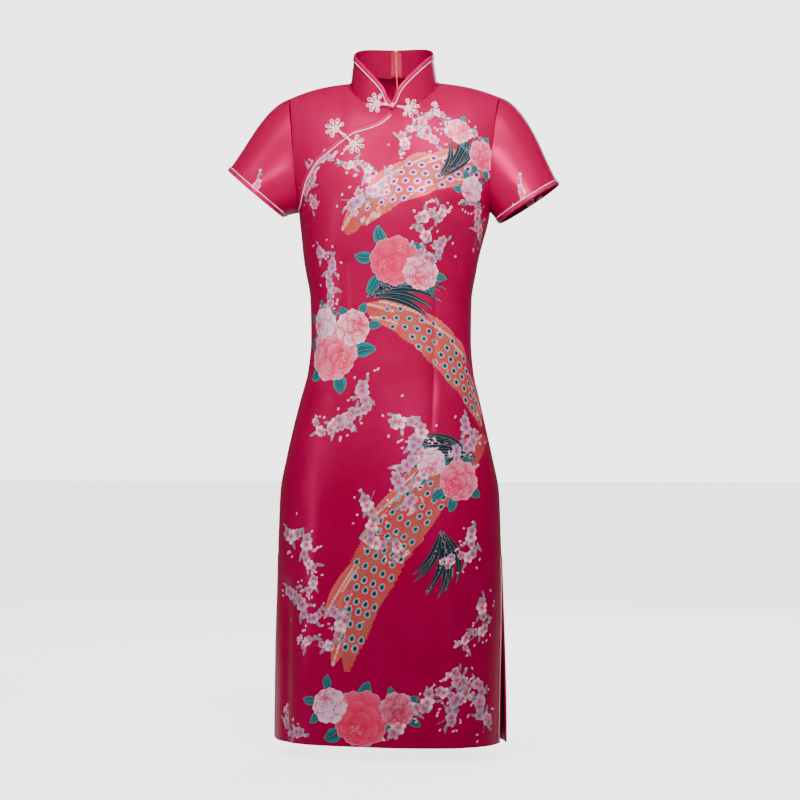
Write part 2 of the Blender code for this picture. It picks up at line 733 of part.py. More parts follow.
def make_collar(side, finish, binding_finish, piping_finish):
    """One half of the collar with its bound and piped edge."""
    grid = collar_grid(side)
    name = "collar_left" if side > 0 else "collar_right"
    panel(name, grid, finish, COLLAR_CLOTH)
    lines = [[values[row] for values in grid] for row in (-1, -2)]
    trims(name, *lines, binding_finish, piping_finish)
    return grid


def make_zip_tape(name, collar, back, finish):
    """One tape of the closed back zip, from the collar's top to below the waist. It lies inside the
    collar's last columns and the back's first ones, on their own points."""
    depths = (COLLAR_CLOTH + SEAM_GAP, CLOTH + SEAM_GAP)
    parts = [[values[::-1, :-4:-1] for values in collar], [values[::-1, :3] for values in back]]
    kept = body_rows()[::-1] > row_of_height(ZIP_END_Z)
    parts[1] = [values[kept] for values in parts[1]]
    outer = np.concatenate([points - normals * depth for (points, normals), depth in zip(parts, depths)])
    under = np.concatenate(
        [points - normals * (depth + ZIP_TAPE_THICKNESS) for (points, normals), depth in zip(parts, depths)]
    )
    wall(name, outer, under, finish)


def box(centre, size):
    """A plain box as its own mesh object, for joining."""
    mesh = bmesh.new()
    bmesh.ops.create_cube(mesh, size=1.0)
    bmesh.ops.scale(mesh, vec=size, verts=mesh.verts)
    bmesh.ops.translate(mesh, vec=centre, verts=mesh.verts)
    return solid_from(mesh)


def rod(start, end, radius, sides=12):
    """A round bar between two points as its own mesh object."""
    start, end = Vector(start), Vector(end)
    mesh = bmesh.new()
    length = (end - start).length
    bmesh.ops.create_cone(mesh, cap_ends=True, segments=sides, radius1=radius, radius2=radius, depth=length)
    turn = (end - start).to_track_quat("Z", "Y").to_matrix().to_4x4()
    bmesh.ops.transform(mesh, matrix=turn, verts=mesh.verts)
    bmesh.ops.translate(mesh, vec=(start + end) / 2, verts=mesh.verts)
    return solid_from(mesh)


def solid_from(mesh):
    data = bpy.data.meshes.new("piece")
    mesh.to_mesh(data)
    mesh.free()
    made = bpy.data.objects.new("piece", data)
    bpy.context.scene.collection.objects.link(made)
    return made


def joined(name, pieces, finish, cut=()):
    """Pieces made one body by Boolean unions, with others cut away, as a named node."""
    base = pieces[0]
    for operation, others in (("UNION", pieces[1:]), ("DIFFERENCE", cut)):
        for other in others:
            modifier = base.modifiers.new(operation, "BOOLEAN")
            modifier.operation = operation
            modifier.object = other
    bpy.context.view_layer.update()
    graph = bpy.context.evaluated_depsgraph_get()
    mesh = bpy.data.meshes.new_from_object(base.evaluated_get(graph))
    for piece in (*pieces, *cut):
        bpy.data.objects.remove(piece)
    mesh.name = name
    mesh.materials.clear()
    return node(name, mesh, finish)


def make_slider_and_tab(metal):
    """The zip's slider on the outside of the collar, near its top, with the pull tab that hangs on
    the slider's bar and rests on the collar. Both are made square to the wall, then laid on it."""
    height = np.array(COLLAR_HEIGHT - SLIDER_DROP)
    place = Vector(collar_point(np.array(math.pi), height))
    normal = collar_normal(np.array(math.pi), height)
    slope = math.atan2(normal[2], normal[1])
    lie = Matrix.Translation(place) @ Matrix.Rotation(slope, 4, "X")
    wide, deep, tall = SLIDER_SIZE
    bar_y = SLIDER_LIFT + deep + BAR_OUT
    middle = SLIDER_LIFT + deep / 2
    pieces = [box((0, middle, 0), (wide, deep, tall))]
    for side in (-1, 1):
        pieces.append(rod((side * POST_X, middle, 0), (side * POST_X, bar_y + POST_RADIUS, 0), POST_RADIUS))
    pieces.append(rod((-POST_X, bar_y, 0), (POST_X, bar_y, 0), BAR_RADIUS))
    for piece in pieces:
        piece.data.transform(lie)
    joined("zip_slider", pieces, metal)
    half = TAB_EYE_LENGTH / 2
    top = -TAB_EYE_RADIUS - TAB_NECK / 4
    eye = rod((-half, 0, 0), (half, 0, 0), TAB_EYE_RADIUS, 16)
    hole = rod((-half * 2, 0, 0), (half * 2, 0, 0), TAB_EYE_HOLE, 16)
    neck = box((0, 0, top), (TAB_EYE_LENGTH * 0.8, TAB_THICKNESS * 1.3, TAB_NECK))
    leaf = teardrop(0, top)
    hang = Matrix.Translation(lie @ Vector((0, bar_y, 0))) @ Matrix.Rotation(TAB_REST, 4, "X")
    for piece in (eye, hole, neck, leaf):
        piece.data.transform(hang)
    joined("zip_pull_tab", [eye, neck, leaf], metal, cut=[hole])


def teardrop(y, top):
    """The tab's flat leaf, a drop outline with round ends, extruded by its thickness."""
    outline = bpy.data.curves.new("leaf", "CURVE")
    outline.dimensions = "2D"
    outline.fill_mode = "BOTH"
    outline.extrude = TAB_THICKNESS / 2
    spline = outline.splines.new("POLY")
    count = 20
    spline.points.add(count - 1)
    for i in range(count):
        turn = 2 * math.pi * i / count
        width = TAB_WIDTH / 2 * (0.62 - 0.38 * math.cos(turn))
        spline.points[i].co = (width * math.sin(turn), -TAB_LENGTH / 2 * (1 - math.cos(turn)), 0, 1)
    spline.use_cyclic_u = True
    made = bpy.data.objects.new("leaf", outline)
    bpy.context.scene.collection.objects.link(made)
    made.rotation_euler = (math.pi / 2, 0, 0)
    made.location = (0, y, top)
    return mesh_of(made)


def mesh_of(curve):
    """A curve object made a closed mesh object in the same place."""
    bpy.context.view_layer.update()
    graph = bpy.context.evaluated_depsgraph_get()
    mesh = bpy.data.meshes.new_from_object(curve.evaluated_get(graph))
    mesh.transform(curve.matrix_world)
    bpy.data.objects.remove(curve)
    shape = bmesh.new()
    shape.from_mesh(mesh)
    bmesh.ops.remove_doubles(shape, verts=shape.verts, dist=1e-6)
    bmesh.ops.recalc_face_normals(shape, faces=shape.faces)
    return solid_from(shape)


def frog_line():
    """One flower of a frog as one cord that never meets itself: a coil, then a lobed rim round it.
    Its root is at the origin and it opens along +x, in millimetres."""
    share = np.linspace(0, 1, COIL_STEPS)
    turns = [RIM_FROM - 4 + COIL_TURN * (1 - share)]
    radii = [COIL_FROM + COIL_GROWS * share**1.3]
    turns.append(np.array([RIM_FROM - 9, RIM_FROM - 8]))
    radii.append(np.array([RIM_OUT * 0.6, RIM_OUT * 0.78]))
    rim = np.linspace(RIM_FROM, RIM_TO, RIM_STEPS)
    turns.append(rim)
    radii.append(RIM_OUT - RIM_LOBES + RIM_LOBES * 2 * np.sin(np.radians(rim * 2.5)) ** 2)
    turn, radius = np.radians(np.concatenate(turns)), np.concatenate(radii)
    line = np.stack([COIL_OUT + radius * np.cos(turn), radius * np.sin(turn)], -1)
    return np.concatenate([line, [(3.2, 6.2), (1.1, 2.8), (0.0, 0.0)]])


def front_tree():
    """What a frog lies on: the fronts, the collar and their trims, as one tree for rays."""
    points, faces = [], []
    for made in bpy.data.collections["cheongsam"].objects:
        if not made.name.startswith(("front", "collar", "lapel")):
            continue
        first = len(points)
        points.extend(v.co.copy() for v in made.data.vertices)
        faces.extend([first + v for v in f.vertices] for f in made.data.polygons)
    return BVHTree.FromPolygons(points, faces)


def ball_depth(tree, x, z, radius):
    """How far back a ball of this radius can sit at (x, z) before it nears the cloth in front of it."""
    depths = []
    for share in (0.0, 0.4, 0.75, 0.95):
        for turn in np.linspace(0, 2 * math.pi, 9)[:-1]:
            out = share * radius
            start = Vector((x + out * math.cos(turn), -0.4, z + out * math.sin(turn)))
            hit = tree.ray_cast(start, Vector((0, 1, 0)))[0]
            if hit is not None and hit.y < 0:
                depths.append(hit.y - math.sqrt(radius**2 - out**2))
    return min(depths) - SEAM_GAP


def laid_on(tree, flat, radius):
    """A cord's flat (x, z) points laid on the front, so that it clears what it passes over."""
    count = len(flat)
    finer = np.linspace(0, count - 1, 3 * count - 2)
    line = np.stack([np.interp(finer, np.arange(count), np.asarray(flat)[:, k]) for k in (0, 1)], -1)
    depth = np.array([ball_depth(tree, x, z, radius) for x, z in line])
    for gather in (np.min, np.mean):
        around = np.pad(depth, LAY_REACH, mode="edge")
        depth = gather([around[k : k + len(line)] for k in range(2 * LAY_REACH + 1)], axis=0)
    return [(x, y, z) for (x, z), y in zip(flat, depth[::3])]


def cord(name, points, radius, finish):
    """A round cord through its points."""
    data = bpy.data.curves.new(name, "CURVE")
    data.dimensions = "3D"
    data.bevel_depth = radius
    data.bevel_resolution = 1
    data.use_fill_caps = True
    spline = data.splines.new("POLY")
    spline.points.add(len(points) - 1)
    for i, point in enumerate(points):
        spline.points[i].co = (*point, 1)
    return node(name, data, finish)


def make_frog(values, tree, white, cloth):
    """A pair of flowers with the knot button between them and the loop that holds it."""
    tilt = math.radians(values["tilt"])
    centre = np.array([values["x"], values["z"]]) * MM
    along = np.array([math.cos(tilt), math.sin(tilt)])
    across = np.array([-math.sin(tilt), math.cos(tilt)])
    for side, name in ((-1, "right"), (1, "left")):
        line = frog_line() * MM
        start = (values["reach"] - COIL_OUT) * MM * side
        flat = centre + np.outer(line[:, 0] * side + start, along) + np.outer(line[:, 1], across)
        cord(f"frog_{values['name']}_{name}", laid_on(tree, flat, FROG_CORD), FROG_CORD, white)
    x, z = centre
    y = ball_depth(tree, x, z, KNOT_RADIUS)
    mesh = bmesh.new()
    bmesh.ops.create_uvsphere(mesh, u_segments=12, v_segments=8, radius=KNOT_RADIUS)
    bmesh.ops.translate(mesh, vec=(x, y, z), verts=mesh.verts)
    data = bpy.data.meshes.new("knot")
    mesh.to_mesh(data)
    mesh.free()
    node(f"frog_{values['name']}_knot", data, cloth)


def make_garment():
    """Builds every piece of the cheongsam."""
    for old in list(bpy.data.objects):
        bpy.data.objects.remove(old)
    group = bpy.data.collections.new("cheongsam")
    bpy.context.scene.collection.children.link(group)
    satin = material("satin", (0.62, 0.012, 0.10), 0.32)
    binding = material("binding_satin", (0.66, 0.03, 0.16), 0.34)
    piping = material("piping", (0.90, 0.62, 0.66), 0.5)
    frog = material("frog_cord", (0.88, 0.66, 0.68), 0.45)
    tape = material("zip_tape", (0.62, 0.02, 0.05), 0.8)
    metal = material("zip_metal", (0.55, 0.05, 0.10), 0.3, 0.6)
    front, columns, lapel = make_front(satin)
    make_front_upper(columns, lapel, satin)
    edges = [[values[row, : len(columns)] for values in front] for row in (-1, -2)]
    trims("lapel", *edges, binding, piping)
    for side, name in ((-1, "right"), (1, "left")):
        back = make_back(side, satin)
        collar = make_collar(side, satin, binding, piping)
        make_zip_tape("zip_tape_" + name, collar, back, tape)
        slit_trims("slit_front_" + name, front, side > 0, binding, piping)
        slit_trims("slit_back_" + name, back, True, binding, piping)
    for row in SLEEVES:
        make_sleeve(dict(zip(SLEEVE_COLUMNS, row)), satin, binding, piping)
    make_slider_and_tab(metal)
    tree = front_tree()
    for row in FROGS:
        make_frog(dict(zip(FROG_COLUMNS, row)), tree, frog, binding)


make_garment()
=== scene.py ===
"""Draws the cheongsam for its photo: printed satin, bindings, frogs, zip, camera and light.

Units are metres, +Z is up, the front faces -Y and the wearer's right is -X. The cloth repeats the
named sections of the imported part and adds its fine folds; the print is worked out in millimetres on
the cloth laid flat, from the centre line and the hem.
"""

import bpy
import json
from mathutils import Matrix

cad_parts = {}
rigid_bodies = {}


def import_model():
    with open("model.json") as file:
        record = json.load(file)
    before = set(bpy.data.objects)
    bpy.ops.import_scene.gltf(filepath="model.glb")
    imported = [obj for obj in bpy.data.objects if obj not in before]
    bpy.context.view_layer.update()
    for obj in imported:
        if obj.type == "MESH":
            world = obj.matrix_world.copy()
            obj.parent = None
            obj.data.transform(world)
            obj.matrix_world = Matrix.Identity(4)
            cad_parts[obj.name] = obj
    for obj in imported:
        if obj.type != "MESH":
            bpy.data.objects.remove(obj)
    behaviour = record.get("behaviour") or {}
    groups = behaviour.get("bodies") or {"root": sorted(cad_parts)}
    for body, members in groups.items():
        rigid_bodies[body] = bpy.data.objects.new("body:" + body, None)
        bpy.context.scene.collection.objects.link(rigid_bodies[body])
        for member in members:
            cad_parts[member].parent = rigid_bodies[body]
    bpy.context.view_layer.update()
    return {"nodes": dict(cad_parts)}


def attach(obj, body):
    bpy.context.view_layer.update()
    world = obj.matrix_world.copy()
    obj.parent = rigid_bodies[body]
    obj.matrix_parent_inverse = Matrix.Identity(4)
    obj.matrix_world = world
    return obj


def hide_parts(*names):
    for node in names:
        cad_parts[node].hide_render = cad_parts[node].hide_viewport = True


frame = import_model()

import json
import math

import bpy
import numpy as np
from mathutils import Euler, Vector
from mathutils.bvhtree import BVHTree

MM = 0.001

# Cloth, seams and trims
CLOTH = 1.2 * MM
COLLAR_CLOTH = 1.8 * MM
SEAM_GAP = 0.3 * MM
BINDING_WIDTH = 6.0 * MM
PIPING_WIDTH = 1.6 * MM
PIPING_HEIGHT = 1.2 * MM
TRIM_INSET = 0.3 * MM
TRIM_LIFT = 0.5 * MM
TRIM_SPACE = TRIM_INSET + BINDING_WIDTH + SEAM_GAP + PIPING_WIDTH + 1.0 * MM

# Heights of the main lines
HEM_Z = -1037 * MM
HEM_TURN = 22 * MM
SLIT_TOP_Z = -745 * MM
WAIST_Z = -408 * MM
UNDERARM_Z = -205 * MM

# Body sections, hem to underarm: half the width at the side seams, depth to the centre front and to
# the centre back, and how much squarer than an ellipse the ring is.
SECTION_COLUMNS = ("z", "half_width", "front", "back", "square")
SECTIONS = (
    (-1037, 180.0, 108, 116, 0.060),
    (-900, 180.0, 109, 119, 0.055),
    (-780, 178.0, 110, 122, 0.050),
    (-700, 175.5, 109, 125, 0.045),
    (-645, 173.0, 107, 125, 0.040),
    (-597, 164.0, 104, 119, 0.035),
    (-550, 153.5, 100, 110, 0.030),
    (-502, 142.0, 95, 99, 0.025),
    (-455, 130.5, 91, 88, 0.020),
    (-408, 126.5, 89, 82, 0.020),
    (-344, 127.5, 93, 82, 0.020),
    (-297, 135.0, 101, 88, 0.020),
    (-250, 143.5, 114.5, 96, 0.020),
    (-215, 149.8, 119, 102.5, 0.020),
    (-205, 151.0, 119, 104, 0.020),
)

# The skirt is turned a little against the chest, as the garment stands in its pose.
SKIRT_TWIST = math.radians(-9)

# How far the waist and the hips stand to the wearer's right of the neck.
WAIST_LEAN = 5.5 * MM
WAIST_LEAN_FROM = 290 * MM
HIP_LEAN = 2.5 * MM
HIP_LEAN_FROM = 560 * MM

# Armhole, underarm to shoulder tip, on each half: share of the way up and the point there.
ARMHOLE_COLUMNS = ("share", "x", "front_y", "back_y", "z")
ARMHOLE = (
    (0.00, 151.0, 0, 0, -205),
    (0.14, 150.5, -26, 28, -194),
    (0.32, 152.0, -46, 50, -166),
    (0.52, 155.0, -53, 60, -126),
    (0.72, 158.5, -46, 54, -84),
    (0.88, 163.0, -29, 36, -47),
    (0.96, 165.5, -12, 17, -30),
    (1.00, 167.0, 2, 2, -24),
)

# Centre lines of the chest and the back, underarm level to neck: share of the way up and the point.
CENTRE_COLUMNS = ("share", "front_y", "front_z", "back_y", "back_z")
CENTRE = (
    (0.00, -119, -205, 104, -205),
    (0.06, -119, -195, 105, -192),
    (0.25, -115.5, -163, 108, -150),
    (0.50, -104, -121, 104, -96),
    (0.75, -90, -82, 86, -42),
    (1.00, -74, -50, 50, 14),
)

# Neck ring and collar
NECK_HALF_WIDTH = 68 * MM
NECK_CENTRE_Y = -8 * MM
NECK_FRONT = 66 * MM
NECK_BACK = 58 * MM
NECK_FRONT_Z = -50 * MM
NECK_SIDE_Z = -2 * MM
NECK_BACK_Z = 14 * MM
COLLAR_HEIGHT = 42.5 * MM
COLLAR_LEAN = math.radians(13)
COLLAR_TAPER = 0.14
COLLAR_FRONT_COLUMNS = ("angle", "height")
COLLAR_FRONT = (
    (0, 13.0),
    (4, 17.0),
    (7, 26.0),
    (12, 35.0),
    (22, 44.0),
    (35, 50.0),
    (50, 53.0),
    (65, 52.0),
    (90, 44.5),
    (115, 43.0),
    (180, 42.5),
)
COLLAR_BACK_PART = 1.4 * MM

# Where the columns of a panel pass from the neckline to the shoulder seam, and where the shoulder
# begins to round over.
NECK_COLUMN = 0.42
ROUND_FROM = 0.45
SHOULDER_RISE = 4 * MM

# Edge of the front's overlap, centre front neck to the wearer's right underarm.
LAPEL_COLUMNS = ("x", "z")
LAPEL = (
    (2, -50),
    (-5, -56),
    (-13, -64),
    (-23, -70),
    (-41, -76.5),
    (-60, -82.5),
    (-78, -95),
    (-103, -115),
    (-115, -124),
    (-125, -137),
    (-138, -160),
    (-151, -201),
)

# Sleeves: cuff centre, slope of the sleeve below level, and the cuff's half height and half depth.
SLEEVE_COLUMNS = ("side", "x", "y", "z", "slope", "half_height", "half_depth")
SLEEVES = (
    (-1, 221, -2, -174, 49.5, 56, 58),
    (1, 213, -2, -192, 57, 56, 58),
)

# Soft forms and the largest folds: on which face, both ends (x, z), width and height. A negative
# height is a trough.
FOLD_COLUMNS = ("face", "x0", "z0", "x1", "z1", "width", "height")
FOLDS = (
    (-1, -66, -178, -66, -190, 46, 11.0),
    (-1, 66, -178, 66, -190, 46, 11.0),
    (-1, 138, -199, 84, -178, 8, 4.5),
    (-1, 136, -183, 92, -168, 6, 2.5),
    (-1, 132, -214, 88, -202, 8, -2.5),
    (-1, -64, -290, -64, -545, 7, -2.0),
    (-1, 74, -290, 74, -545, 7, -2.0),
    (-1, -151, -790, -150, -1040, 9, -5.0),
    (-1, -104, -620, -112, -1040, 26, 3.5),
    (-1, 100, -700, 118, -1040, 24, 3.0),
    (-1, -20, -760, -30, -1040, 30, -2.5),
    (1, -58, -300, -58, -520, 7, -2.0),
    (1, 58, -300, 58, -520, 7, -2.0),
    (1, -70, -690, -84, -1040, 24, -3.5),
    (1, 66, -690, 74, -1040, 26, 3.5),
    (1, -40, -395, 44, -385, 9, 2.0),
    (1, -52, -425, 36, -432, 9, -2.0),
)

# How much of a fold's height goes sideways, and the rows over which folds die out below the shoulder.
FOLD_SIDEWAYS = 0.45
FOLDS_END = (1.55, 1.9)

# Side slits: how far each edge stands off its neighbour at the hem, and how far it swings out.
SLIT_PART = 7 * MM
SLIT_SWING_COLUMNS = ("face", "side", "swing")
SLIT_SWING = ((-1, -1, 5), (-1, 1, -2), (1, -1, -3), (1, 1, 6))

# Back zip
ZIP_END_Z = -430 * MM

# Frog fastenings: centre of the knot (x, z), the way the pair runs in degrees above level, and how
# far each flower's centre lies from the knot.
FROG_COLUMNS = ("name", "x", "z", "tilt", "reach")
FROGS = (
    ("collar", 2.5, -44.0, -9, 24.5),
    ("lapel", -71.0, -92.0, -40, 19.0),
)
FROG_CORD = 0.85 * MM
KNOT_RADIUS = 3.6 * MM

# Grid lines. The top row stops just short of the shoulder and the neck, and the first column lies just
# beside the centre front.
TOP_ROW = 2 - 8e-4
FIRST_COLUMN = 0.022
LOWER_ROWS = 18
UPPER_ROWS = 8
# Cloth per column at the side seams and the centre back, and per row on the small front.
SIDE_REACH = 236 * MM
CENTRE_REACH = 160 * MM
UPPER_REACH = 150 * MM
# Short steps from the overlap's edge to the line inside it.
LAPEL_STEPS = 12
# The small front's last column runs to this share of the front's first one, beside the centre.
LAST_SHARE = 0.36

# The visible cloth: how far apart its points lie outside and inside, and how far it stands off the
# solid's own surface.
STEP = 2.5 * MM
INNER_STEP = 4
STAND = 0.15 * MM

SIDES = ((-1, "right"), (1, "left"))

# Fine lines of the front and the back, as in FOLDS.
FINE_FOLDS = (
    (-1, 74, -285, 74, -540, 1.6, -1.6),
    (-1, -64, -285, -64, -530, 1.6, -1.1),
    (1, 58, -300, 58, -520, 1.6, -1.1),
    (1, -58, -300, -58, -520, 1.6, -1.1),
    (-1, 140, -190, 104, -172, 3.0, 1.8),
    (-1, 142, -226, 98, -214, 4.0, -1.2),
    (-1, -142, -226, -100, -212, 4.0, -1.2),
    (-1, -104, -399, -20, -392, 9.0, -1.0),
    (-1, -110, -416, -42, -421, 6.0, 0.9),
    (-1, 112, -404, 40, -395, 6.0, -1.0),
    (-1, 112, -424, 56, -432, 6.0, 0.8),
    (-1, -120, -470, -76, -500, 8.0, 1.2),
    (-1, 122, -470, 92, -506, 8.0, 1.2),
    (-1, -34, -560, -44, -1000, 14.0, 1.0),
    (-1, 44, -640, 58, -1010, 16.0, -1.2),
    (-1, 0, -130, -4, -176, 16.0, -0.8),
    (1, -60, -120, -20, -180, 14.0, -1.0),
    (1, 60, -120, 20, -180, 14.0, -1.0),
    (1, -90, -380, -30, -372, 6.0, 1.2),
    (1, 88, -378, 30, -370, 6.0, 1.2),
)
# Soft creases all over, and puckers where the sleeves are set in.
CREASE_HEIGHT = 0.55 * MM
PUCKER_HEIGHT = 0.5 * MM

# Points across the strip under the trims, up the small front, around and along a sleeve and along half
# the collar, and the length of the cloth from the underarm to the shoulder.
TRIM_ROWS = 4
UPPER_FINE_ROWS = 60
SLEEVE_RING = 144
SLEEVE_FINE_ROWS = 44
COLLAR_FINE = 90
CHEST_REACH = 240 * MM
TOOTH_PITCH = 1.4 * MM

# Steps of the flat cloth's table over half the width, and over the rows below the underarm.
FLAT_COLUMNS = 60
FLAT_ROWS = 80

# The photo's camera: its turn from straight on in degrees, how far off it stands, where it looks, and
# the width of its frame at the garment.
CAMERA_TURN = 4.0
CAMERA_DISTANCE = 4.2
CAMERA_ASIDE = 0.0087
CAMERA_Z = -0.501
FRAME_WIDTH = 1.264
FLOOR_Z = -1.06


def columns_of(names, rows):
    """A table's columns as arrays, by name."""
    return dict(zip(names, np.array(rows, float).T))


def rows_of(names, table):
    """A table's rows, each with its values by name."""
    return [dict(zip(names, row)) for row in table]


def smooth_line(xs, ys, x):
    """Monotone cubic through the table's points, which never swings past them."""
    x = np.clip(np.asarray(x, float), xs[0], xs[-1])
    steps = np.diff(xs)
    slopes = np.diff(ys) / steps
    tangents = np.zeros(len(xs))
    tangents[0], tangents[-1] = slopes[0], slopes[-1]
    for i in range(1, len(xs) - 1):
        if slopes[i - 1] * slopes[i] > 0:
            w0, w1 = 2 * steps[i] + steps[i - 1], steps[i] + 2 * steps[i - 1]
            tangents[i] = (w0 + w1) / (w0 / slopes[i - 1] + w1 / slopes[i])
    i = np.clip(np.searchsorted(xs, x, side="right") - 1, 0, len(steps) - 1)
    t = (x - xs[i]) / steps[i]
    h = steps[i]
    return (
        ys[i] * (2 * t**3 - 3 * t**2 + 1)
        + tangents[i] * h * (t**3 - 2 * t**2 + t)
        + ys[i + 1] * (3 * t**2 - 2 * t**3)
        + tangents[i + 1] * h * (t**3 - t**2)
    )


def ramp(x, low, high):
    """Smooth step from 0 at low to 1 at high."""
    t = np.clip((np.asarray(x, float) - low) / (high - low), 0, 1)
    return t * t * (3 - 2 * t)


SECTION = columns_of(SECTION_COLUMNS, SECTIONS)
ARM = columns_of(ARMHOLE_COLUMNS, ARMHOLE)
MIDDLE = columns_of(CENTRE_COLUMNS, CENTRE)
FRONT_EDGE = columns_of(COLLAR_FRONT_COLUMNS, COLLAR_FRONT)
LAPEL_LINE = columns_of(LAPEL_COLUMNS, LAPEL)


def section(name, z):
    """One section value at height z, in metres apart from the squareness."""
    value = smooth_line(SECTION["z"] * MM, SECTION[name], z)
    return value if name == "square" else value * MM


def neck_point(angle):
    """Point of the neck ring, at an angle from the centre front, positive to +X."""
    c, s = np.cos(angle), np.sin(angle)
    depth = np.where(c > 0, NECK_FRONT, NECK_BACK)
    even = (NECK_FRONT_Z + NECK_BACK_Z) / 2
    mean, sway = (even + NECK_SIDE_Z) / 2, (even - NECK_SIDE_Z) / 2
    z = mean + (NECK_FRONT_Z - NECK_BACK_Z) / 2 * c + sway * np.cos(2 * angle)
    return np.stack([NECK_HALF_WIDTH * s, NECK_CENTRE_Y - depth * c, z], -1)


def relief(face, x, z):
    """How far the soft forms and folds stand out from the plain surface."""
    out = np.zeros(np.broadcast(x, z).shape)
    for fold in rows_of(FOLD_COLUMNS, FOLDS + FINE_FOLDS):
        if fold["face"] != face:
            continue
        start = np.array([fold["x0"], fold["z0"]]) * MM
        along = np.array([fold["x1"], fold["z1"]]) * MM - start
        share = ((x - start[0]) * along[0] + (z - start[1]) * along[1]) / (along @ along)
        held = np.clip(share, 0, 1)
        off = np.hypot(x - start[0] - held * along[0], z - start[1] - held * along[1])
        swell = 0.8 if fold["width"] > 40 else 0.55 + 0.45 * np.sin(math.pi * held)
        out += fold["height"] * MM * swell * np.exp(-((off / (fold["width"] * MM)) ** 2))
    return out + creases(x, z)


def lower_point(face, column, z):
    """Outer surface between the hem and the underarm."""
    width, square = section("half_width", z), section("square", z)
    depth = section("front" if face < 0 else "back", z)
    opened = ramp(-z, -SLIT_TOP_Z, -HEM_Z)
    angle = column * (math.pi / 2 - SLIT_PART * opened / width)
    boost = 1 + square * np.sin(math.pi * column) ** 2
    x = width * np.sin(angle) * boost
    y = face * depth * np.cos(angle) * boost
    for swing in rows_of(SLIT_SWING_COLUMNS, SLIT_SWING):
        if swing["face"] == face:
            at_edge = ramp(column * swing["side"], 0.72, 1.0)
            x = x + swing["side"] * swing["swing"] * MM * opened * at_edge
    return x, y


def upper_point(face, column, share):
    """Outer surface between the underarm and the shoulder seam or the neckline."""
    side = np.sign(column)
    s = np.abs(column)
    edge_x = smooth_line(ARM["share"], ARM["x"], share) * MM
    edge_y = smooth_line(ARM["share"], ARM["front_y" if face < 0 else "back_y"], share) * MM
    edge_z = smooth_line(ARM["share"], ARM["z"], share) * MM
    mid_y = smooth_line(MIDDLE["share"], MIDDLE["front_y" if face < 0 else "back_y"], share) * MM
    mid_z = smooth_line(MIDDLE["share"], MIDDLE["front_z" if face < 0 else "back_z"], share) * MM
    depth = np.abs(mid_y)
    end = np.arccos(np.clip(face * edge_y / depth, -1, 1))
    boost = 1 + section("square", UNDERARM_Z) * np.sin(math.pi * s) ** 2
    x = edge_x / np.sin(end) * np.sin(s * end) * boost
    y = face * depth * np.cos(s * end) * boost
    z = mid_z + (edge_z - mid_z) * s**2
    turned = face * np.minimum(s / NECK_COLUMN, 1) * math.pi / 2
    at_neck = neck_point(np.where(face < 0, 0, math.pi) - turned)
    along = np.clip((s - NECK_COLUMN) / (1 - NECK_COLUMN), 0, 1)[..., None]
    neck_side = neck_point(np.array(math.pi / 2))
    tip = np.array([ARM["x"][-1], ARM["front_y"][-1], ARM["z"][-1]]) * MM
    seam = neck_side + (tip - neck_side) * along
    seam[..., 2] += SHOULDER_RISE * np.sin(math.pi * along[..., 0])
    top = np.where((s < NECK_COLUMN)[..., None], at_neck, seam)
    quarter = np.clip((share - ROUND_FROM) / (1 - ROUND_FROM), 0, 1) * math.pi / 2
    x = x + (np.abs(top[..., 0]) - x) * (1 - np.cos(quarter))
    y = y + (top[..., 1] - y) * (1 - np.cos(quarter))
    z = z + (top[..., 2] - z) * np.sin(quarter) ** 2
    return side * x, y, z


def body_point(face, column, row):
    """Outer surface of the body. row runs 0 to 1 from the hem to the underarm and 1 to 2 above it."""
    column, row = np.broadcast_arrays(np.asarray(column, float), np.asarray(row, float))
    z_low = HEM_Z + (UNDERARM_Z - HEM_Z) * np.clip(row, -0.1, 1)
    x_low, y_low = lower_point(face, column, z_low)
    x_up, y_up, z_up = upper_point(face, column, np.clip(row - 1, 0, 1))
    above = row > 1
    x = np.where(above, x_up, x_low)
    y = np.where(above, y_up, y_low)
    z = np.where(above, z_up, z_low)
    away = np.stack([x * FOLD_SIDEWAYS, y], -1)
    away /= np.linalg.norm(away, axis=-1, keepdims=True) + 1e-9
    fade = 1 - np.clip(np.abs(column), 0, 1) ** 6
    fade = fade * (1 - ramp(row, *FOLDS_END))
    stand = relief(face, x, z) * fade
    x, y = x + away[..., 0] * stand, y + away[..., 1] * stand
    turn = SKIRT_TWIST * ramp(-z, -WAIST_Z, -HEM_Z)
    lean = WAIST_LEAN * ramp(-z, -UNDERARM_Z, WAIST_LEAN_FROM)
    lean = lean + HIP_LEAN * ramp(-z, -WAIST_Z, HIP_LEAN_FROM)
    x, y = x * np.cos(turn) - y * np.sin(turn) - lean, x * np.sin(turn) + y * np.cos(turn)
    return np.stack([x, y, z], -1)


def slopes_of(surface, u, v):
    """Both tangents of a surface by small steps, kept inside 0 to 2 for v."""
    step = 2e-3
    lower_v, upper_v = np.maximum(v - step, 0), np.minimum(v + step, 2)
    along_u = (surface(u + step, v) - surface(u - step, v)) / (2 * step)
    along_v = (surface(u, upper_v) - surface(u, lower_v)) / (upper_v - lower_v)[..., None]
    return along_u, along_v


def unit(vectors):
    return vectors / (np.linalg.norm(vectors, axis=-1, keepdims=True) + 1e-12)


def body_normal(face, column, row):
    """Outward normal of the body's outer surface."""
    column, row = np.broadcast_arrays(np.asarray(column, float), np.asarray(row, float))
    along_u, along_v = slopes_of(lambda u, v: body_point(face, u, v), column, row)
    return unit(np.cross(along_u, along_v)) * -face


def row_of_height(z):
    return (np.asarray(z, float) - HEM_Z) / (UNDERARM_Z - HEM_Z)


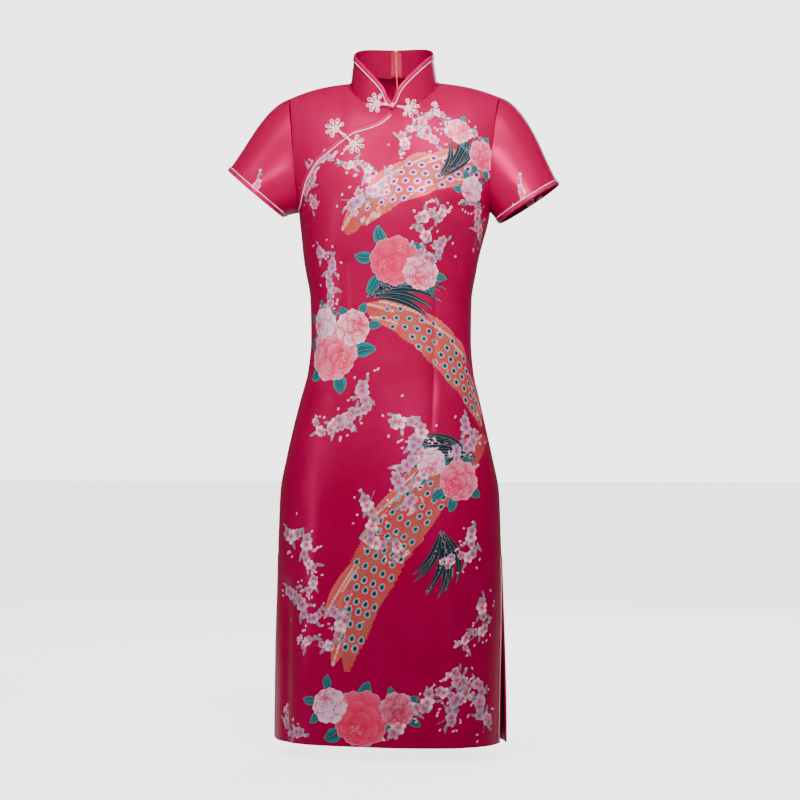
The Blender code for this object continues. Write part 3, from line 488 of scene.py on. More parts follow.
def lapel_row(column):
    """Row at which a column of the wearer's right front meets the overlap's edge."""
    column = np.asarray(column, float)
    low, high = np.ones_like(column), np.full_like(column, 2.0)
    for _ in range(40):
        middle = (low + high) / 2
        point = body_point(-1, column, middle)
        line = smooth_line(LAPEL_LINE["x"][::-1] * MM, LAPEL_LINE["z"][::-1] * MM, point[..., 0])
        under = point[..., 2] < line
        low, high = np.where(under, middle, low), np.where(under, high, middle)
    return (low + high) / 2


def column_lines():
    """Columns shared by the panels: even ones, the neck's corner, the trims' line and the edge."""
    edge = 1 - SEAM_GAP / 2 / SIDE_REACH
    inner = edge - TRIM_SPACE / SIDE_REACH
    even = np.linspace(0.07, 0.91, 11)
    even[np.argmin(np.abs(even - NECK_COLUMN))] = NECK_COLUMN
    return np.concatenate([[FIRST_COLUMN, 2 * FIRST_COLUMN], even, [inner, edge]])


def back_columns():
    """Columns of half the back, which starts beside the zip's teeth."""
    return np.concatenate([[SEAM_GAP / 2 / CENTRE_REACH], column_lines()])


def body_rows():
    """Rows from the hem to the top, with lines at the hem's turn, the slit's top and the armhole."""
    lower = np.linspace(0, 1, LOWER_ROWS + 1)[:-1]
    lower[1] = row_of_height(HEM_Z + HEM_TURN)
    lower[np.argmin(np.abs(lower - row_of_height(SLIT_TOP_Z)))] = row_of_height(SLIT_TOP_Z)
    upper = 1 + np.linspace(0, 1, UPPER_ROWS + 1) ** 0.92 * (TOP_ROW - 1)
    return np.concatenate([lower, upper])


def inside_lapel(columns, rows):
    """The line inside the overlap's edge that carries its trims: square to the edge, in short steps
    over the surface. At the side seam it stays on the seam, as far from the edge as elsewhere."""
    start = body_point(-1, columns, rows)
    square = unit(np.cross(unit(np.gradient(start, axis=0)), body_normal(-1, columns, rows)))
    step = square * np.sign(-square[..., 2:3]) * TRIM_SPACE / LAPEL_STEPS
    u, v = columns, rows
    for _ in range(LAPEL_STEPS):
        du, dv = slopes_of(lambda a, b: body_point(-1, a, b), u, v)
        uu, uv, vv = [(a * b).sum(-1) for a, b in ((du, du), (du, dv), (dv, dv))]
        su, sv = (step * du).sum(-1), (step * dv).sum(-1)
        det = uu * vv - uv * uv
        u, v = u + (su * vv - sv * uv) / det, v + (sv * uu - su * uv) / det
    down = np.linspace(rows[0], row_of_height(UNDERARM_Z - 8 * TRIM_SPACE), 200)
    seam = body_point(-1, np.full(200, columns[0]), down)
    finer = np.linspace(columns[0], columns[4], 60)
    edge = body_point(-1, finer, lapel_row(finer))
    away = np.linalg.norm(seam[:, None] - edge, axis=-1).min(axis=1)
    u[0], v[0] = columns[0], down[np.argmax(away >= TRIM_SPACE)]
    return u, v


def sleeve_surface(values):
    """Outer surface of one sleeve: around runs 0 to 1 from the shoulder tip down the front and up
    the back, out runs 0 to 1 from the armhole to the cuff."""
    side = values["side"]
    slope = math.radians(values["slope"])
    axis = np.array([side * math.cos(slope), 0, -math.sin(slope)])
    up = np.array([side * math.sin(slope), 0, math.cos(slope)])
    centre = np.array([side * values["x"], values["y"], values["z"]]) * MM

    def surface(around, out):
        around, out = np.broadcast_arrays(np.asarray(around, float) % 1.0, np.asarray(out, float))
        front = around < 0.5
        share = np.where(front, 1 - 2 * around, 2 * around - 1)
        start = np.stack(
            [
                side * smooth_line(ARM["share"], ARM["x"], share),
                np.where(
                    front,
                    smooth_line(ARM["share"], ARM["front_y"], share),
                    smooth_line(ARM["share"], ARM["back_y"], share),
                ),
                smooth_line(ARM["share"], ARM["z"], share),
            ],
            -1,
        ) * MM
        turn = around * 2 * math.pi
        end = (
            centre
            + up * (values["half_height"] * MM * np.cos(turn))[..., None]
            + np.array([0, -1, 0]) * (values["half_depth"] * MM * np.sin(turn))[..., None]
        )
        top = np.clip(np.cos(turn), 0, 1)[..., None]
        low = np.clip(-np.cos(turn), 0, 1)[..., None] ** 0.7
        level = np.array([side, 0, -0.32])
        reach = np.linalg.norm(end - start, axis=-1, keepdims=True)
        straight = (end - start) / reach
        leave = unit(axis * (1 - top - low) + level * top + straight * low)
        arrive = unit(axis * (1 - low) + straight * low)
        t = out[..., None]
        pull, push = leave * reach * (0.75 + 0.15 * top), arrive * reach * 0.8
        point = (
            start * (2 * t**3 - 3 * t**2 + 1)
            + pull * (t**3 - 2 * t**2 + t)
            + end * (3 * t**2 - 2 * t**3)
            + push * (t**3 - t**2)
        )
        return point

    def normal(around, out):
        around, out = np.broadcast_arrays(np.asarray(around, float), np.asarray(out, float))
        step = 2e-3
        low, high = np.maximum(out - step, 0), np.minimum(out + step, 1)
        along_u = surface(around + step, out) - surface(around - step, out)
        along_v = (surface(around, high) - surface(around, low)) / (high - low)[..., None]
        return unit(np.cross(along_u, along_v)) * side

    return surface, normal


def collar_height(angle):
    return smooth_line(FRONT_EDGE["angle"], FRONT_EDGE["height"], np.degrees(np.abs(angle))) * MM


def collar_point(angle, height):
    """Outer surface of the standing collar, a height above the neck ring."""
    base = neck_point(angle) + np.array([0, 0, SEAM_GAP])
    radial = unit(np.stack([np.sin(angle), -np.cos(angle), np.zeros_like(angle)], -1))
    rise = np.array([0, -math.sin(COLLAR_LEAN), math.cos(COLLAR_LEAN)])
    return base + (rise - radial * COLLAR_TAPER) * np.asarray(height)[..., None]


def collar_normal(angle, height):
    step = 1e-3
    along_u = collar_point(angle + step, height) - collar_point(angle - step, height)
    along_v = collar_point(angle, height + MM) - collar_point(angle, height)
    return unit(np.cross(along_u, along_v))


def creases(x, z):
    """Uneven soft creases all over the cloth."""
    broad = np.sin(x * 61 + 3 * np.sin(z * 9)) * np.sin(z * 23 + 2 * np.sin(x * 17))
    small = np.sin(x * 140 + z * 37) * np.sin(z * 71 - x * 29)
    return CREASE_HEIGHT * (broad + 0.35 * small)


def finer(stops, reach):
    """The same stops with even ones between them, about STEP apart on the cloth."""
    out = [stops[:1]]
    for a, b in zip(stops[:-1], stops[1:]):
        count = max(1, math.ceil((b - a) * reach / STEP))
        out.append(a + (b - a) * np.arange(1, count + 1) / count)
    return np.concatenate(out)


def fine_rows(stops):
    """Rows of the body, hem upwards, STEP apart below the underarm and above it."""
    low = stops[stops <= 1 + 1e-9]
    high = stops[stops >= 1 - 1e-9]
    rows = [finer(low, UNDERARM_Z - HEM_Z)]
    if len(high) > 1:
        rows.append(finer(high, CHEST_REACH)[1:])
    return np.concatenate(rows)


def front_params():
    """Columns and rows of the main front's points, with those of its overlap's edge."""
    half = finer(np.append(0, column_lines()), SIDE_REACH)[1:]
    columns = np.concatenate([-half[::-1], [0.0], half])
    stops = body_rows()
    inside, top = stops[-2], stops[-1]
    standard = fine_rows(stops[:-1])
    share = np.linspace(0, 1, TRIM_ROWS + 1)[1:, None]
    coarse = -column_lines()[::-1]
    coarse_rows = np.minimum(lapel_row(coarse), TOP_ROW)
    inner_columns, inner_rows = inside_lapel(coarse, coarse_rows)
    crossing = columns < 0
    at = columns[crossing]
    stations = np.append(coarse, 0)
    aside = np.interp(at, stations, np.append(inner_columns - coarse, 0))
    below = np.interp(at, stations, np.append(coarse_rows - inner_rows, top - inside))
    edge_rows = np.minimum(lapel_row(at), TOP_ROW)
    waist = row_of_height(WAIST_Z)
    reach = np.clip((standard - waist) / (inside - waist), 0, 1)[:, None]
    rows = np.multiply.outer(standard, np.ones(len(columns)))
    grid = np.broadcast_to(columns, rows.shape).copy()
    rows[:, crossing] += reach * (edge_rows - below - inside)
    grid[:, crossing] += reach**3 * aside
    strip_rows = inside + (top - inside) * share + np.zeros(len(columns))
    strip_columns = columns + np.zeros_like(strip_rows)
    strip_rows[:, crossing] = edge_rows - below * (1 - share)
    strip_columns[:, crossing] = at + aside * (1 - share)
    return np.concatenate([grid, strip_columns]), np.concatenate([rows, strip_rows]), crossing


def upper_params():
    """Columns and rows of the small front under the overlap."""
    stops = np.append(-column_lines()[::-1], -FIRST_COLUMN * LAST_SHARE)
    columns = finer(stops, SIDE_REACH)
    start = np.minimum(lapel_row(columns), TOP_ROW) + SEAM_GAP / UPPER_REACH
    start = np.minimum(start, TOP_ROW - 1e-4)
    rows = start + np.multiply.outer(np.linspace(0, 1, UPPER_FINE_ROWS), TOP_ROW - start)
    return np.broadcast_to(columns, rows.shape), rows


def back_params(side):
    columns = finer(back_columns(), SIDE_REACH) * side
    rows = fine_rows(body_rows())
    rows = np.multiply.outer(rows, np.ones(len(columns)))
    return np.broadcast_to(columns, rows.shape), rows


def flat_table(face):
    """Lengths over the body's cloth, in millimetres: across from the centre line, up from the hem."""
    columns = np.linspace(-1, 1, 2 * FLAT_COLUMNS + 1)
    rows = np.linspace(0, 2, 2 * FLAT_ROWS + 1)
    points = body_point(face, columns[None, :], rows[:, None]) / MM
    across = np.cumsum(np.linalg.norm(np.diff(points, axis=1), axis=-1), axis=1)
    across = np.pad(across, ((0, 0), (1, 0)))
    across -= across[:, FLAT_COLUMNS : FLAT_COLUMNS + 1]
    up = np.cumsum(np.linalg.norm(np.diff(points, axis=0), axis=-1), axis=0)
    up = np.pad(up, ((1, 0), (0, 0))) + HEM_Z / MM
    return across, up


def flat_place(table, columns, rows):
    """Where points of the body lie on the flat cloth: across and up, by the table."""
    u = np.clip((columns + 1) * FLAT_COLUMNS, 0, 2 * FLAT_COLUMNS - 1e-3)
    v = np.clip(rows * FLAT_ROWS, 0, 2 * FLAT_ROWS - 1e-3)
    i, j = u.astype(int), v.astype(int)
    a, b = u - i, v - j
    low = [t[j, i] * (1 - a) + t[j, i + 1] * a for t in table]
    high = [t[j + 1, i] * (1 - a) + t[j + 1, i + 1] * a for t in table]
    return [below * (1 - b) + above * b for below, above in zip(low, high)]


def border(line, near, stops, forward):
    """Faces that join an outer border line to the sparser inner one."""
    faces = []
    for k in range(len(stops) - 1):
        run = list(line[stops[k] : stops[k + 1] + 1])
        if forward:
            faces.append([*run, near[k + 1], near[k]])
        else:
            faces.append([*run[::-1], near[k], near[k + 1]])
    return faces


def shell(name, points, normals, finish, print_layers=None, thickness=CLOTH, around=False):
    """A thin panel of cloth: a close outer side, a sparser inner side, closed round its border."""
    rows, cols = points.shape[:2]
    r = np.unique(np.append(np.arange(0, rows, INNER_STEP), rows - 1))
    c = np.arange(0, cols, INNER_STEP)
    if not around:
        c = np.unique(np.append(c, cols - 1))
    outside = (points + normals * STAND).reshape(-1, 3)
    inside = (points - normals * thickness)[np.ix_(r, c)].reshape(-1, 3)
    outer = np.arange(rows * cols).reshape(rows, cols)
    inner = rows * cols + np.arange(len(r) * len(c)).reshape(len(r), len(c))
    if around:
        outer = np.concatenate([outer, outer[:, :1]], axis=1)
        inner = np.concatenate([inner, inner[:, :1]], axis=1)
        c = np.append(c, cols)

    def quads(grid):
        corners = [grid[:-1, :-1], grid[:-1, 1:], grid[1:, 1:], grid[1:, :-1]]
        return np.stack(corners, -1).reshape(-1, 4)

    faces = quads(outer).tolist() + quads(inner)[:, ::-1].tolist()
    faces += border(outer[0], inner[0], c, False) + border(outer[-1], inner[-1], c, True)
    if not around:
        faces += border(outer[:, 0], inner[:, 0], r, True) + border(outer[:, -1], inner[:, -1], r, False)
    mesh = bpy.data.meshes.new(name)
    mesh.from_pydata(np.concatenate([outside, inside]).tolist(), [], faces)
    mesh.update()
    middle = (rows // 2) * cols + cols // 2
    facing = np.array(mesh.polygons[(rows // 2 - 1) * (outer.shape[1] - 1) + cols // 2 - 1].normal)
    if facing @ normals.reshape(-1, 3)[middle] < 0:
        mesh.flip_normals()
    run = np.linalg.norm(np.diff(points, axis=1), axis=-1).cumsum(axis=1)
    rise = np.linalg.norm(np.diff(points, axis=0), axis=-1).cumsum(axis=0)
    run, rise = np.pad(run, ((0, 0), (1, 0))), np.pad(rise, ((1, 0), (0, 0)))
    weave = np.stack([run, rise, np.zeros((rows, cols))], -1)
    layers = {"weave": weave.reshape(-1, 3), **(print_layers or {})}
    keep = (r[:, None] * cols + (c[:-1] if around else c)[None, :]).reshape(-1)
    for key, values in layers.items():
        values = np.concatenate([values, values[keep]])
        kind, field = ("FLOAT_VECTOR", "vector") if values.shape[1] == 3 else ("FLOAT_COLOR", "color")
        made = mesh.attributes.new(key, kind, "POINT")
        made.data.foreach_set(field, values.astype(np.float32).ravel())
    return placed(name, mesh, finish)


def placed(name, mesh, finish):
    """A named object of the garment with smooth faces and crisp edges."""
    mesh.polygons.foreach_set("use_smooth", [True] * len(mesh.polygons))
    mesh.set_sharp_from_angle(angle=math.radians(48))
    made = bpy.data.objects.new(name, mesh)
    made.data.materials.append(finish)
    bpy.context.scene.collection.objects.link(made)
    return made


def swept(name, rings, finish, closed=False, mesh_only=False):
    """A strip or cord: rings of points, one ring after another along it."""
    count, sides = rings.shape[:2]
    grid = np.arange(count * sides).reshape(count, sides)
    grid = np.concatenate([grid, grid[:, :1]], axis=1)
    if closed:
        grid = np.concatenate([grid, grid[:1]])
    corners = [grid[:-1, :-1], grid[1:, :-1], grid[1:, 1:], grid[:-1, 1:]]
    faces = np.stack(corners, -1).reshape(-1, 4).tolist()
    if not closed:
        faces += [grid[0, :-1].tolist(), grid[-1, :-1][::-1].tolist()]
    mesh = bpy.data.meshes.new(name)
    mesh.from_pydata(rings.reshape(-1, 3).tolist(), [], faces)
    run = np.linalg.norm(np.diff(rings.mean(axis=1), axis=0), axis=-1).cumsum()
    along = np.repeat(np.append(0, run), sides)
    across = np.tile(np.arange(sides) / sides, count)
    made = mesh.attributes.new("weave", "FLOAT_VECTOR", "POINT")
    values = np.stack([along, across, np.zeros(count * sides)], -1)
    made.data.foreach_set("vector", values.astype(np.float32).ravel())
    mesh.validate()
    return mesh if mesh_only else placed(name, mesh, finish)


def tube(name, line, radius, finish, sides=10, closed=False, mesh_only=False):
    """A round cord through a line of points."""
    line = np.asarray(line, float)
    ahead = np.roll(line, -1, 0) - np.roll(line, 1, 0) if closed else np.gradient(line, axis=0)
    ahead = unit(ahead)
    side = unit(np.cross(ahead, np.array([0.0, -1.0, 0.05])))
    up = np.cross(side, ahead)
    turn = np.linspace(0, 2 * math.pi, sides + 1)[:-1, None]
    rings = line[:, None] + radius * (side[:, None] * np.cos(turn) + up[:, None] * np.sin(turn))
    return swept(name, rings, finish, closed, mesh_only)


def keep(piece, node, slot):
    """The piece rides on the garment, in place of one CAD node or of none."""
    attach(piece, "garment")
    if node is not None:
        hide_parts(node)


def keep_sheet(piece, node):
    """The piece is a panel of cloth that rides on the garment, in place of its CAD node."""
    keep(piece, node, "printed_satin")


# Sections of a binding in millimetres in from the edge and up from the cloth, and the overlap's, which
# stops at the cloth.
BINDING_SECTION = (
    (6.3, 0.35), (6.15, 1.1), (5.0, 1.38), (3.4, 1.5), (1.8, 1.42), (0.4, 1.15),
    (-0.35, 0.5), (-0.45, -0.3), (-0.3, -0.95), (0.1, -0.9), (0.2, 0.2),
)
LAPEL_SECTION = (*BINDING_SECTION[:5], (0.5, 1.1), (0.25, 0.3))
PIPING_SIDES = 10


def trim(node, points, normals, finishes, section=BINDING_SECTION, closed=False):
    """A satin binding along an edge and the round light piping inside it. The points and normals are
    those of two lines: the edge and the line inside it."""
    turn = np.linspace(0, 2 * math.pi, PIPING_SIDES + 1)[:-1]
    middle = (TRIM_INSET + BINDING_WIDTH + SEAM_GAP + PIPING_WIDTH / 2) / MM
    height = (TRIM_LIFT + PIPING_HEIGHT / 2) / MM
    cord_section = np.stack([middle + 0.82 * np.cos(turn), height + 0.72 * np.sin(turn)], -1)
    at = np.arange(len(points[0]))
    puff = 1 + 0.07 * np.sin(at * 0.71) * np.sin(at * 0.23)
    parts = (("binding", section, "binding_satin"), ("piping", cord_section, "piping"))
    for (part, shape, slot), finish in zip(parts, finishes):
        rings = []
        for inset, height in shape:
            share = inset * MM / TRIM_SPACE
            point = points[0] + (points[1] - points[0]) * share
            normal = normals[0] + (normals[1] - normals[0]) * np.clip(share, 0, 1)
            high = height * MM * (puff if part == "binding" and height > 1 else 1.0)
            rings.append(point + normal * np.reshape(high, (-1, 1)))
        piece = swept(f"{node}_edge_{part}", np.stack(rings, axis=1), finish, closed)
        keep(piece, f"{node}_{part}", slot)


def edge_lines(points, normals):
    """A panel's top line and the line inside it, as a trim needs them."""
    return [[values[k] for k in (-1, -1 - TRIM_ROWS)] for values in (points, normals)]


# The print's colours as seen on a screen: red, green and blue.
TINT_TABLE = (
    ("coral", 188, 64, 66),
    ("tan", 160, 96, 76),
    ("salmon", 212, 104, 92),
    ("rose", 208, 20, 76),
    ("pink", 224, 84, 114),
    ("pale_pink", 232, 142, 164),
    ("blush", 242, 206, 212),
    ("lilac", 186, 158, 196),
    ("violet", 86, 30, 104),
    ("plum", 120, 24, 92),
    ("teal", 20, 128, 132),
    ("leaf", 16, 66, 62),
    ("grey", 104, 86, 104),
    ("mist", 158, 140, 156),
    ("night", 20, 26, 34),
    ("cream", 244, 226, 196),
    ("wine", 132, 8, 56),
    ("scarlet", 158, 0, 22),
    ("satin", 136, 0, 40),
    ("satin_light", 164, 0, 76),
    ("satin_edge", 184, 0, 76),
)
TINTS = {row[0]: (np.array(row[1:]) / 255) ** 2.2 for row in TINT_TABLE}

# Motifs on the front: places across from the centre and up from the hem, sizes in millimetres and
# turns in degrees.
PEONY_COLUMNS = ("across", "up", "radius", "turn", "edge", "heart")
FRONT_PEONIES = (
    (6, -286, 38, 20, "pink", "rose"),
    (52, -306, 28, 70, "blush", "rose"),
    (-84, -428, 44, 140, "pale_pink", "rose"),
    (-50, -384, 28, 200, "blush", "rose"),
    (-112, -376, 24, 10, "blush", "lilac"),
    (-24, -1000, 44, 65, "pink", "rose"),
    (-74, -970, 28, 300, "blush", "lilac"),
    (38, -982, 27, 110, "pale_pink", "wine"),
    (118, -628, 32, 45, "pale_pink", "rose"),
    (76, -600, 22, 95, "blush", "lilac"),
    (136, -160, 24, 30, "blush", "lilac"),
    (150, -100, 24, 80, "pale_pink", "rose"),
    (112, -62, 20, 200, "blush", "rose"),
)
BACK_PEONIES = (
    (-40, -260, 38, 20, "pale_pink", "rose"),
    (12, -232, 24, 70, "blush", "rose"),
    (70, -520, 40, 140, "pale_pink", "rose"),
    (30, -486, 24, 200, "salmon", "wine"),
    (-70, -860, 42, 65, "pale_pink", "rose"),
    (-22, -900, 26, 300, "blush", "rose"),
    (110, -980, 28, 110, "salmon", "wine"),
)
SPRAY_COLUMNS = ("across", "up", "heading", "length", "curl", "blossoms", "size", "edge", "heart")
FRONT_SPRAYS = (
    (-132, -204, 66, 104, 34, 6, 12, "pale_pink", "plum"),
    (-76, -182, 30, 90, -24, 5, 11, "lilac", "violet"),
    (-84, -128, 330, 60, 20, 4, 10, "blush", "lilac"),
    (156, -256, 116, 84, -30, 5, 12, "pale_pink", "rose"),
    (100, -240, 196, 80, 22, 5, 12, "lilac", "plum"),
    (60, -262, 60, 70, 24, 5, 12, "blush", "rose"),
    (-120, -250, 276, 110, 24, 6, 11, "lilac", "violet"),
    (-30, -470, 230, 90, 24, 6, 12, "lilac", "plum"),
    (-60, -520, 190, 60, 20, 4, 11, "blush", "rose"),
    (10, -520, 292, 120, 30, 7, 13, "blush", "plum"),
    (66, -556, 262, 116, -26, 6, 13, "lilac", "violet"),
    (-10, -640, 300, 110, -34, 6, 13, "blush", "rose"),
    (130, -520, 250, 70, 24, 5, 12, "lilac", "violet"),
    (150, -690, 230, 80, 24, 5, 13, "blush", "plum"),
    (-172, -700, 300, 120, 30, 7, 13, "blush", "plum"),
    (-160, -780, 336, 120, -28, 7, 13, "lilac", "violet"),
    (-40, -830, 206, 100, 26, 5, 12, "blush", "lilac"),
    (24, -1016, 24, 140, 26, 8, 13, "blush", "plum"),
    (176, -1016, 124, 110, -30, 6, 13, "lilac", "rose"),
    (96, -1000, 70, 90, -24, 5, 12, "lilac", "violet"),
    (172, -800, 240, 92, 24, 5, 12, "blush", "rose"),
    (24, -118, 60, 56, 20, 4, 10, "blush", "rose"),
    (150, -66, 150, 90, 24, 5, 11, "blush", "lilac"),
    (84, -96, 110, 60, 20, 4, 10, "pale_pink", "rose"),
    (-104, -1020, 150, 70, 20, 4, 11, "lilac", "violet"),
)
BACK_SPRAYS = (
    (-110, -130, 300, 90, 26, 4, 12, "pale_pink", "plum"),
    (90, -110, 220, 96, -26, 5, 12, "lilac", "violet"),
    (110, -300, 240, 110, 30, 5, 12, "blush", "rose"),
    (-120, -420, 300, 110, -30, 5, 12, "pale_pink", "rose"),
    (-60, -600, 290, 130, 30, 6, 13, "lilac", "violet"),
    (120, -700, 250, 120, -28, 6, 13, "pale_pink", "plum"),
    (20, -760, 300, 110, 26, 5, 12, "blush", "rose"),
    (-160, -960, 20, 110, 26, 5, 12, "lilac", "violet"),
    (40, -1010, 30, 96, -24, 4, 12, "pale_pink", "plum"),
)
# Sweeps of overlapping plumes along a bent line: where it starts, its heading and length, its bow,
# how many plumes lie along it and how wide each is.
SWEEP_COLUMNS = ("across", "up", "heading", "length", "curl", "count", "width", "tone")
FRONT_SWEEPS = (
    (-66, -238, 26, 268, 0.12, 22, 29.0, 0),
    (-34, -356, 318, 276, 0.13, 22, 29.0, 1),
    (184, -556, 238, 430, -0.13, 32, 40.0, 1),
)
BACK_SWEEPS = (
    (90, -120, 214, 290, 0.12, 22, 26.0, 0),
    (-130, -500, 300, 340, 0.12, 26, 32.0, 1),
    (150, -700, 236, 340, -0.12, 26, 32.0, 1),
)
# Fans of dark narrow feathers: the root, the first and last one's heading and their lengths.
FAN_COLUMNS = ("across", "up", "first", "last", "short", "long", "count", "curl", "width")
DARK_FANS = (
    (-26, -336, 340, 30, 70, 126, 8, 0.14, 5.6),
    (84, -140, 40, 78, 50, 90, 6, -0.12, 5.0),
    (150, -590, 158, 204, 70, 130, 9, -0.14, 5.8),
    (96, -700, 236, 286, 60, 110, 7, 0.14, 5.6),
)
BACK_DARK_FANS = (
    (70, -150, 140, 190, 60, 110, 7, 0.14, 5.6),
    (-130, -530, 330, 20, 70, 120, 8, 0.14, 5.6),
    (140, -730, 160, 210, 70, 120, 8, -0.14, 5.6),
)
SLEEVE_SPRAYS = (
    (96, 52, 20, 60, 20, 3, 11, "pale_pink", "plum"),
    (196, 40, 160, 62, -20, 3, 11, "lilac", "violet"),
    (286, 64, 40, 56, 20, 3, 10, "blush", "rose"),
)
# A peony's rings of petals: each one's share of the radius, how many petals and their first turn.
PEONY_RINGS = ((1.0, 8, 0), (0.76, 7, 24), (0.54, 5, 60), (0.32, 4, 10))
# How far apart the eyes of a sweep lie and how big each is.
EYE_SPACE = 17.5
EYE_RADIUS = 4.9
# The print's layers, lowest first, and the edge's distance where nothing is printed.
LAYER_NAMES = ("plumes", "leaves", "petals")
FAR = -9.0
# How far apart a plume's barbs and a leaf's veins lie, and the steps of a motif's line and a sweep's.
BARB_SPACE = 5.0
VEIN_SPACE = 5.5
LINE_STEPS = 32
SWEEP_STEPS = 64


def heading_of(degrees):
    """The direction on the flat cloth at a turn from straight across."""
    turn = math.radians(degrees)
    return np.array([math.cos(turn), math.sin(turn)])


def mixed(a, b, share):
    """Colours between two, for an array of shares."""
    share = np.clip(share, 0, 1)[:, None]
    return TINTS[a] * (1 - share) + TINTS[b] * share


def blank_print(across, up):
    """Cloth with nothing printed yet: per layer its colour and its edge's distance, then the feather
    marks (barb, eye, eye's tone) and the lines on leaves and petals."""
    count = across.size
    ink = {name: np.tile([0.5, 0.1, 0.2, FAR], (count, 1)) for name in LAYER_NAMES}
    ink["feather"] = np.tile([0.0, 3.0, 0.0, 0.0], (count, 1))
    ink["marks"] = np.tile([9.0, 9.0, 0.0], (count, 1))
    ink["place"] = np.stack([across.ravel(), up.ravel()], -1)
    return ink


def near(ink, place, reach):
    return np.nonzero((np.abs(ink["place"] - np.asarray(place)) < reach).all(axis=1))[0]


def lay(ink, name, here, distance, colour):
    """Prints a motif on its layer where it lies further in than what is there."""
    over = distance > ink[name][here, 3]
    spots = here[over]
    ink[name][spots, :3] = colour[over]
    ink[name][spots, 3] = distance[over]
    return spots, over


def bent_line(root, heading, length, curl, steps=LINE_STEPS):
    """A line from its root that turns evenly as it goes. curl is its sideways bow over its length."""
    ahead = heading_of(heading)
    aside = np.array([-ahead[1], ahead[0]])
    share = np.linspace(0, 1, steps + 1)[:, None]
    return np.asarray(root, float) + ahead * length * share + aside * length * curl * 4 * share * (1 - share)


def along_line(ink, line, reach):
    """The points near a line, with each one's share of the way along and its offset to the side."""
    here = near(ink, (line.min(0) + line.max(0)) / 2, (line.max(0) - line.min(0)) / 2 + reach)
    offset = ink["place"][here][:, None] - line[None]
    gap = np.linalg.norm(offset, axis=-1)
    k = gap.argmin(axis=1)
    ahead = unit(np.gradient(line, axis=0))[k]
    step = offset[np.arange(len(here)), k]
    aside = ahead[:, 0] * step[:, 1] - ahead[:, 1] * step[:, 0]
    run = np.linalg.norm(np.diff(line, axis=0), axis=1).sum()
    share = k / (len(line) - 1) + (step * ahead).sum(-1) / run
    return here, share, aside, run


def plume(ink, line, width, tone):
    """One loose plume with fine barbs and a pale quill."""
    here, share, aside, run = along_line(ink, line, width * 1.6)
    kept = np.clip(share, 0, 1)
    half = width * np.sin(math.pi * (0.06 + 0.94 * kept) ** 1.25) ** 0.85
    ragged = 0.7 * np.sin(share * run * 0.9 + np.abs(aside) * 0.5)
    distance = half - np.abs(aside) + ragged
    distance = np.minimum(distance, (1 - share) * run)
    distance = np.where(share < 0, -3.0, distance)
    across = np.abs(aside) / np.maximum(half, 1)
    colour = mixed("coral", "salmon", 0.15 + 0.75 * across**1.5)
    if tone > 0.8:
        colour = mixed("plum", "rose", 0.1 + 0.8 * across)
    quill = np.clip(1.6 - np.abs(aside), 0, 1)[:, None]
    colour = colour * (1 - 0.75 * quill) + TINTS["cream"] * 0.75 * quill
    spots, over = lay(ink, "plumes", here, distance, colour)
    ink["feather"][spots, 0] = ((share * run - 1.5 * np.abs(aside)) / BARB_SPACE)[over]


def slip(ink, line, width, body, edge):
    """A leaf, or a dark narrow feather: pointed at both ends, with a line down its middle."""
    here, share, aside, run = along_line(ink, line, width * 1.6)
    half = width * np.sin(math.pi * np.clip(share, 0, 1) ** 0.85) ** 0.8
    distance = np.where((share < 0) | (share > 1), -2.0, half - np.abs(aside))
    colour = mixed(body, edge, np.abs(aside) / np.maximum(half, 0.5))
    spots, over = lay(ink, "leaves", here, distance, colour)
    ink["marks"][spots, 0] = aside[over]
    veins = (share * run - 0.9 * np.abs(aside)) / VEIN_SPACE
    ink["marks"][spots, 2] = veins[over] if width > 7 else 0.5


def stem(ink, line, width):
    here, share, aside, _ = along_line(ink, line, width * 2)
    distance = np.where((share < 0) | (share > 1), -2.0, width - np.abs(aside))
    spots, _ = lay(ink, "leaves", here, distance, mixed("grey", "mist", share))
    ink["marks"][spots, 0] = 9.0


def polar(ink, place, reach):
    here = near(ink, place, reach)
    step = ink["place"][here] - np.asarray(place)
    return here, np.hypot(*step.T), np.arctan2(step[:, 1], step[:, 0])


def blossom(ink, place, size, turn, edge, heart):
    """A five-petalled blossom."""
    here, out, angle = polar(ink, place, size * 1.5)
    swing = 2.5 * (angle - math.radians(turn))
    size = size * 0.9
    rim = size * (0.5 + 0.5 * np.abs(np.cos(swing)) ** 0.6)
    colour = mixed(heart, edge, 0.1 + 1.1 * out / rim)
    spots, over = lay(ink, "petals", here, rim - out, colour)
    split = np.arcsin(np.clip(np.cos(swing), -1, 1)) / 2.5 * out
    heart_ring = out - 0.2 * size
    lines = np.where(np.abs(heart_ring) < np.abs(split), heart_ring, split)
    ink["marks"][spots, 1] = lines[over]


def petal(ink, root, heading, length, width, heart, edge, depth=0.0):
    """One petal laid over what is there: deep at its root, pale at its notched rim."""
    here = near(ink, root, length * 1.3)
    ahead = heading_of(heading)
    step = ink["place"][here] - np.asarray(root)
    along = step @ ahead / length
    aside = step @ np.array([-ahead[1], ahead[0]])
    angle = np.arctan2(aside / width, (along - 0.54) / 0.5)
    notch = 1 - 0.13 * np.exp(-((angle / 0.24) ** 2))
    notch = notch - 0.05 * np.exp(-(((np.abs(angle) - 0.8) / 0.2) ** 2))
    distance = (1 - np.hypot((along - 0.54) / 0.5, aside / width) / notch) * min(width, length / 2)
    streak = 0.14 * np.sin(aside * 1.1 + heading) * np.clip(along, 0, 1)
    colour = mixed(heart, edge, (0.02 + 0.98 * np.clip(along, 0, 1) ** 2.4 + streak) * (1 - depth))
    inside = distance > 0
    over = inside | (distance > ink["petals"][here, 3])
    closer = inside | (np.abs(distance) < np.abs(ink["marks"][here, 1]))
    ink["petals"][here[over], :3] = colour[over]
    ink["petals"][here, 3] = np.maximum(ink["petals"][here, 3], distance)
    ink["marks"][here[closer], 1] = distance[closer]


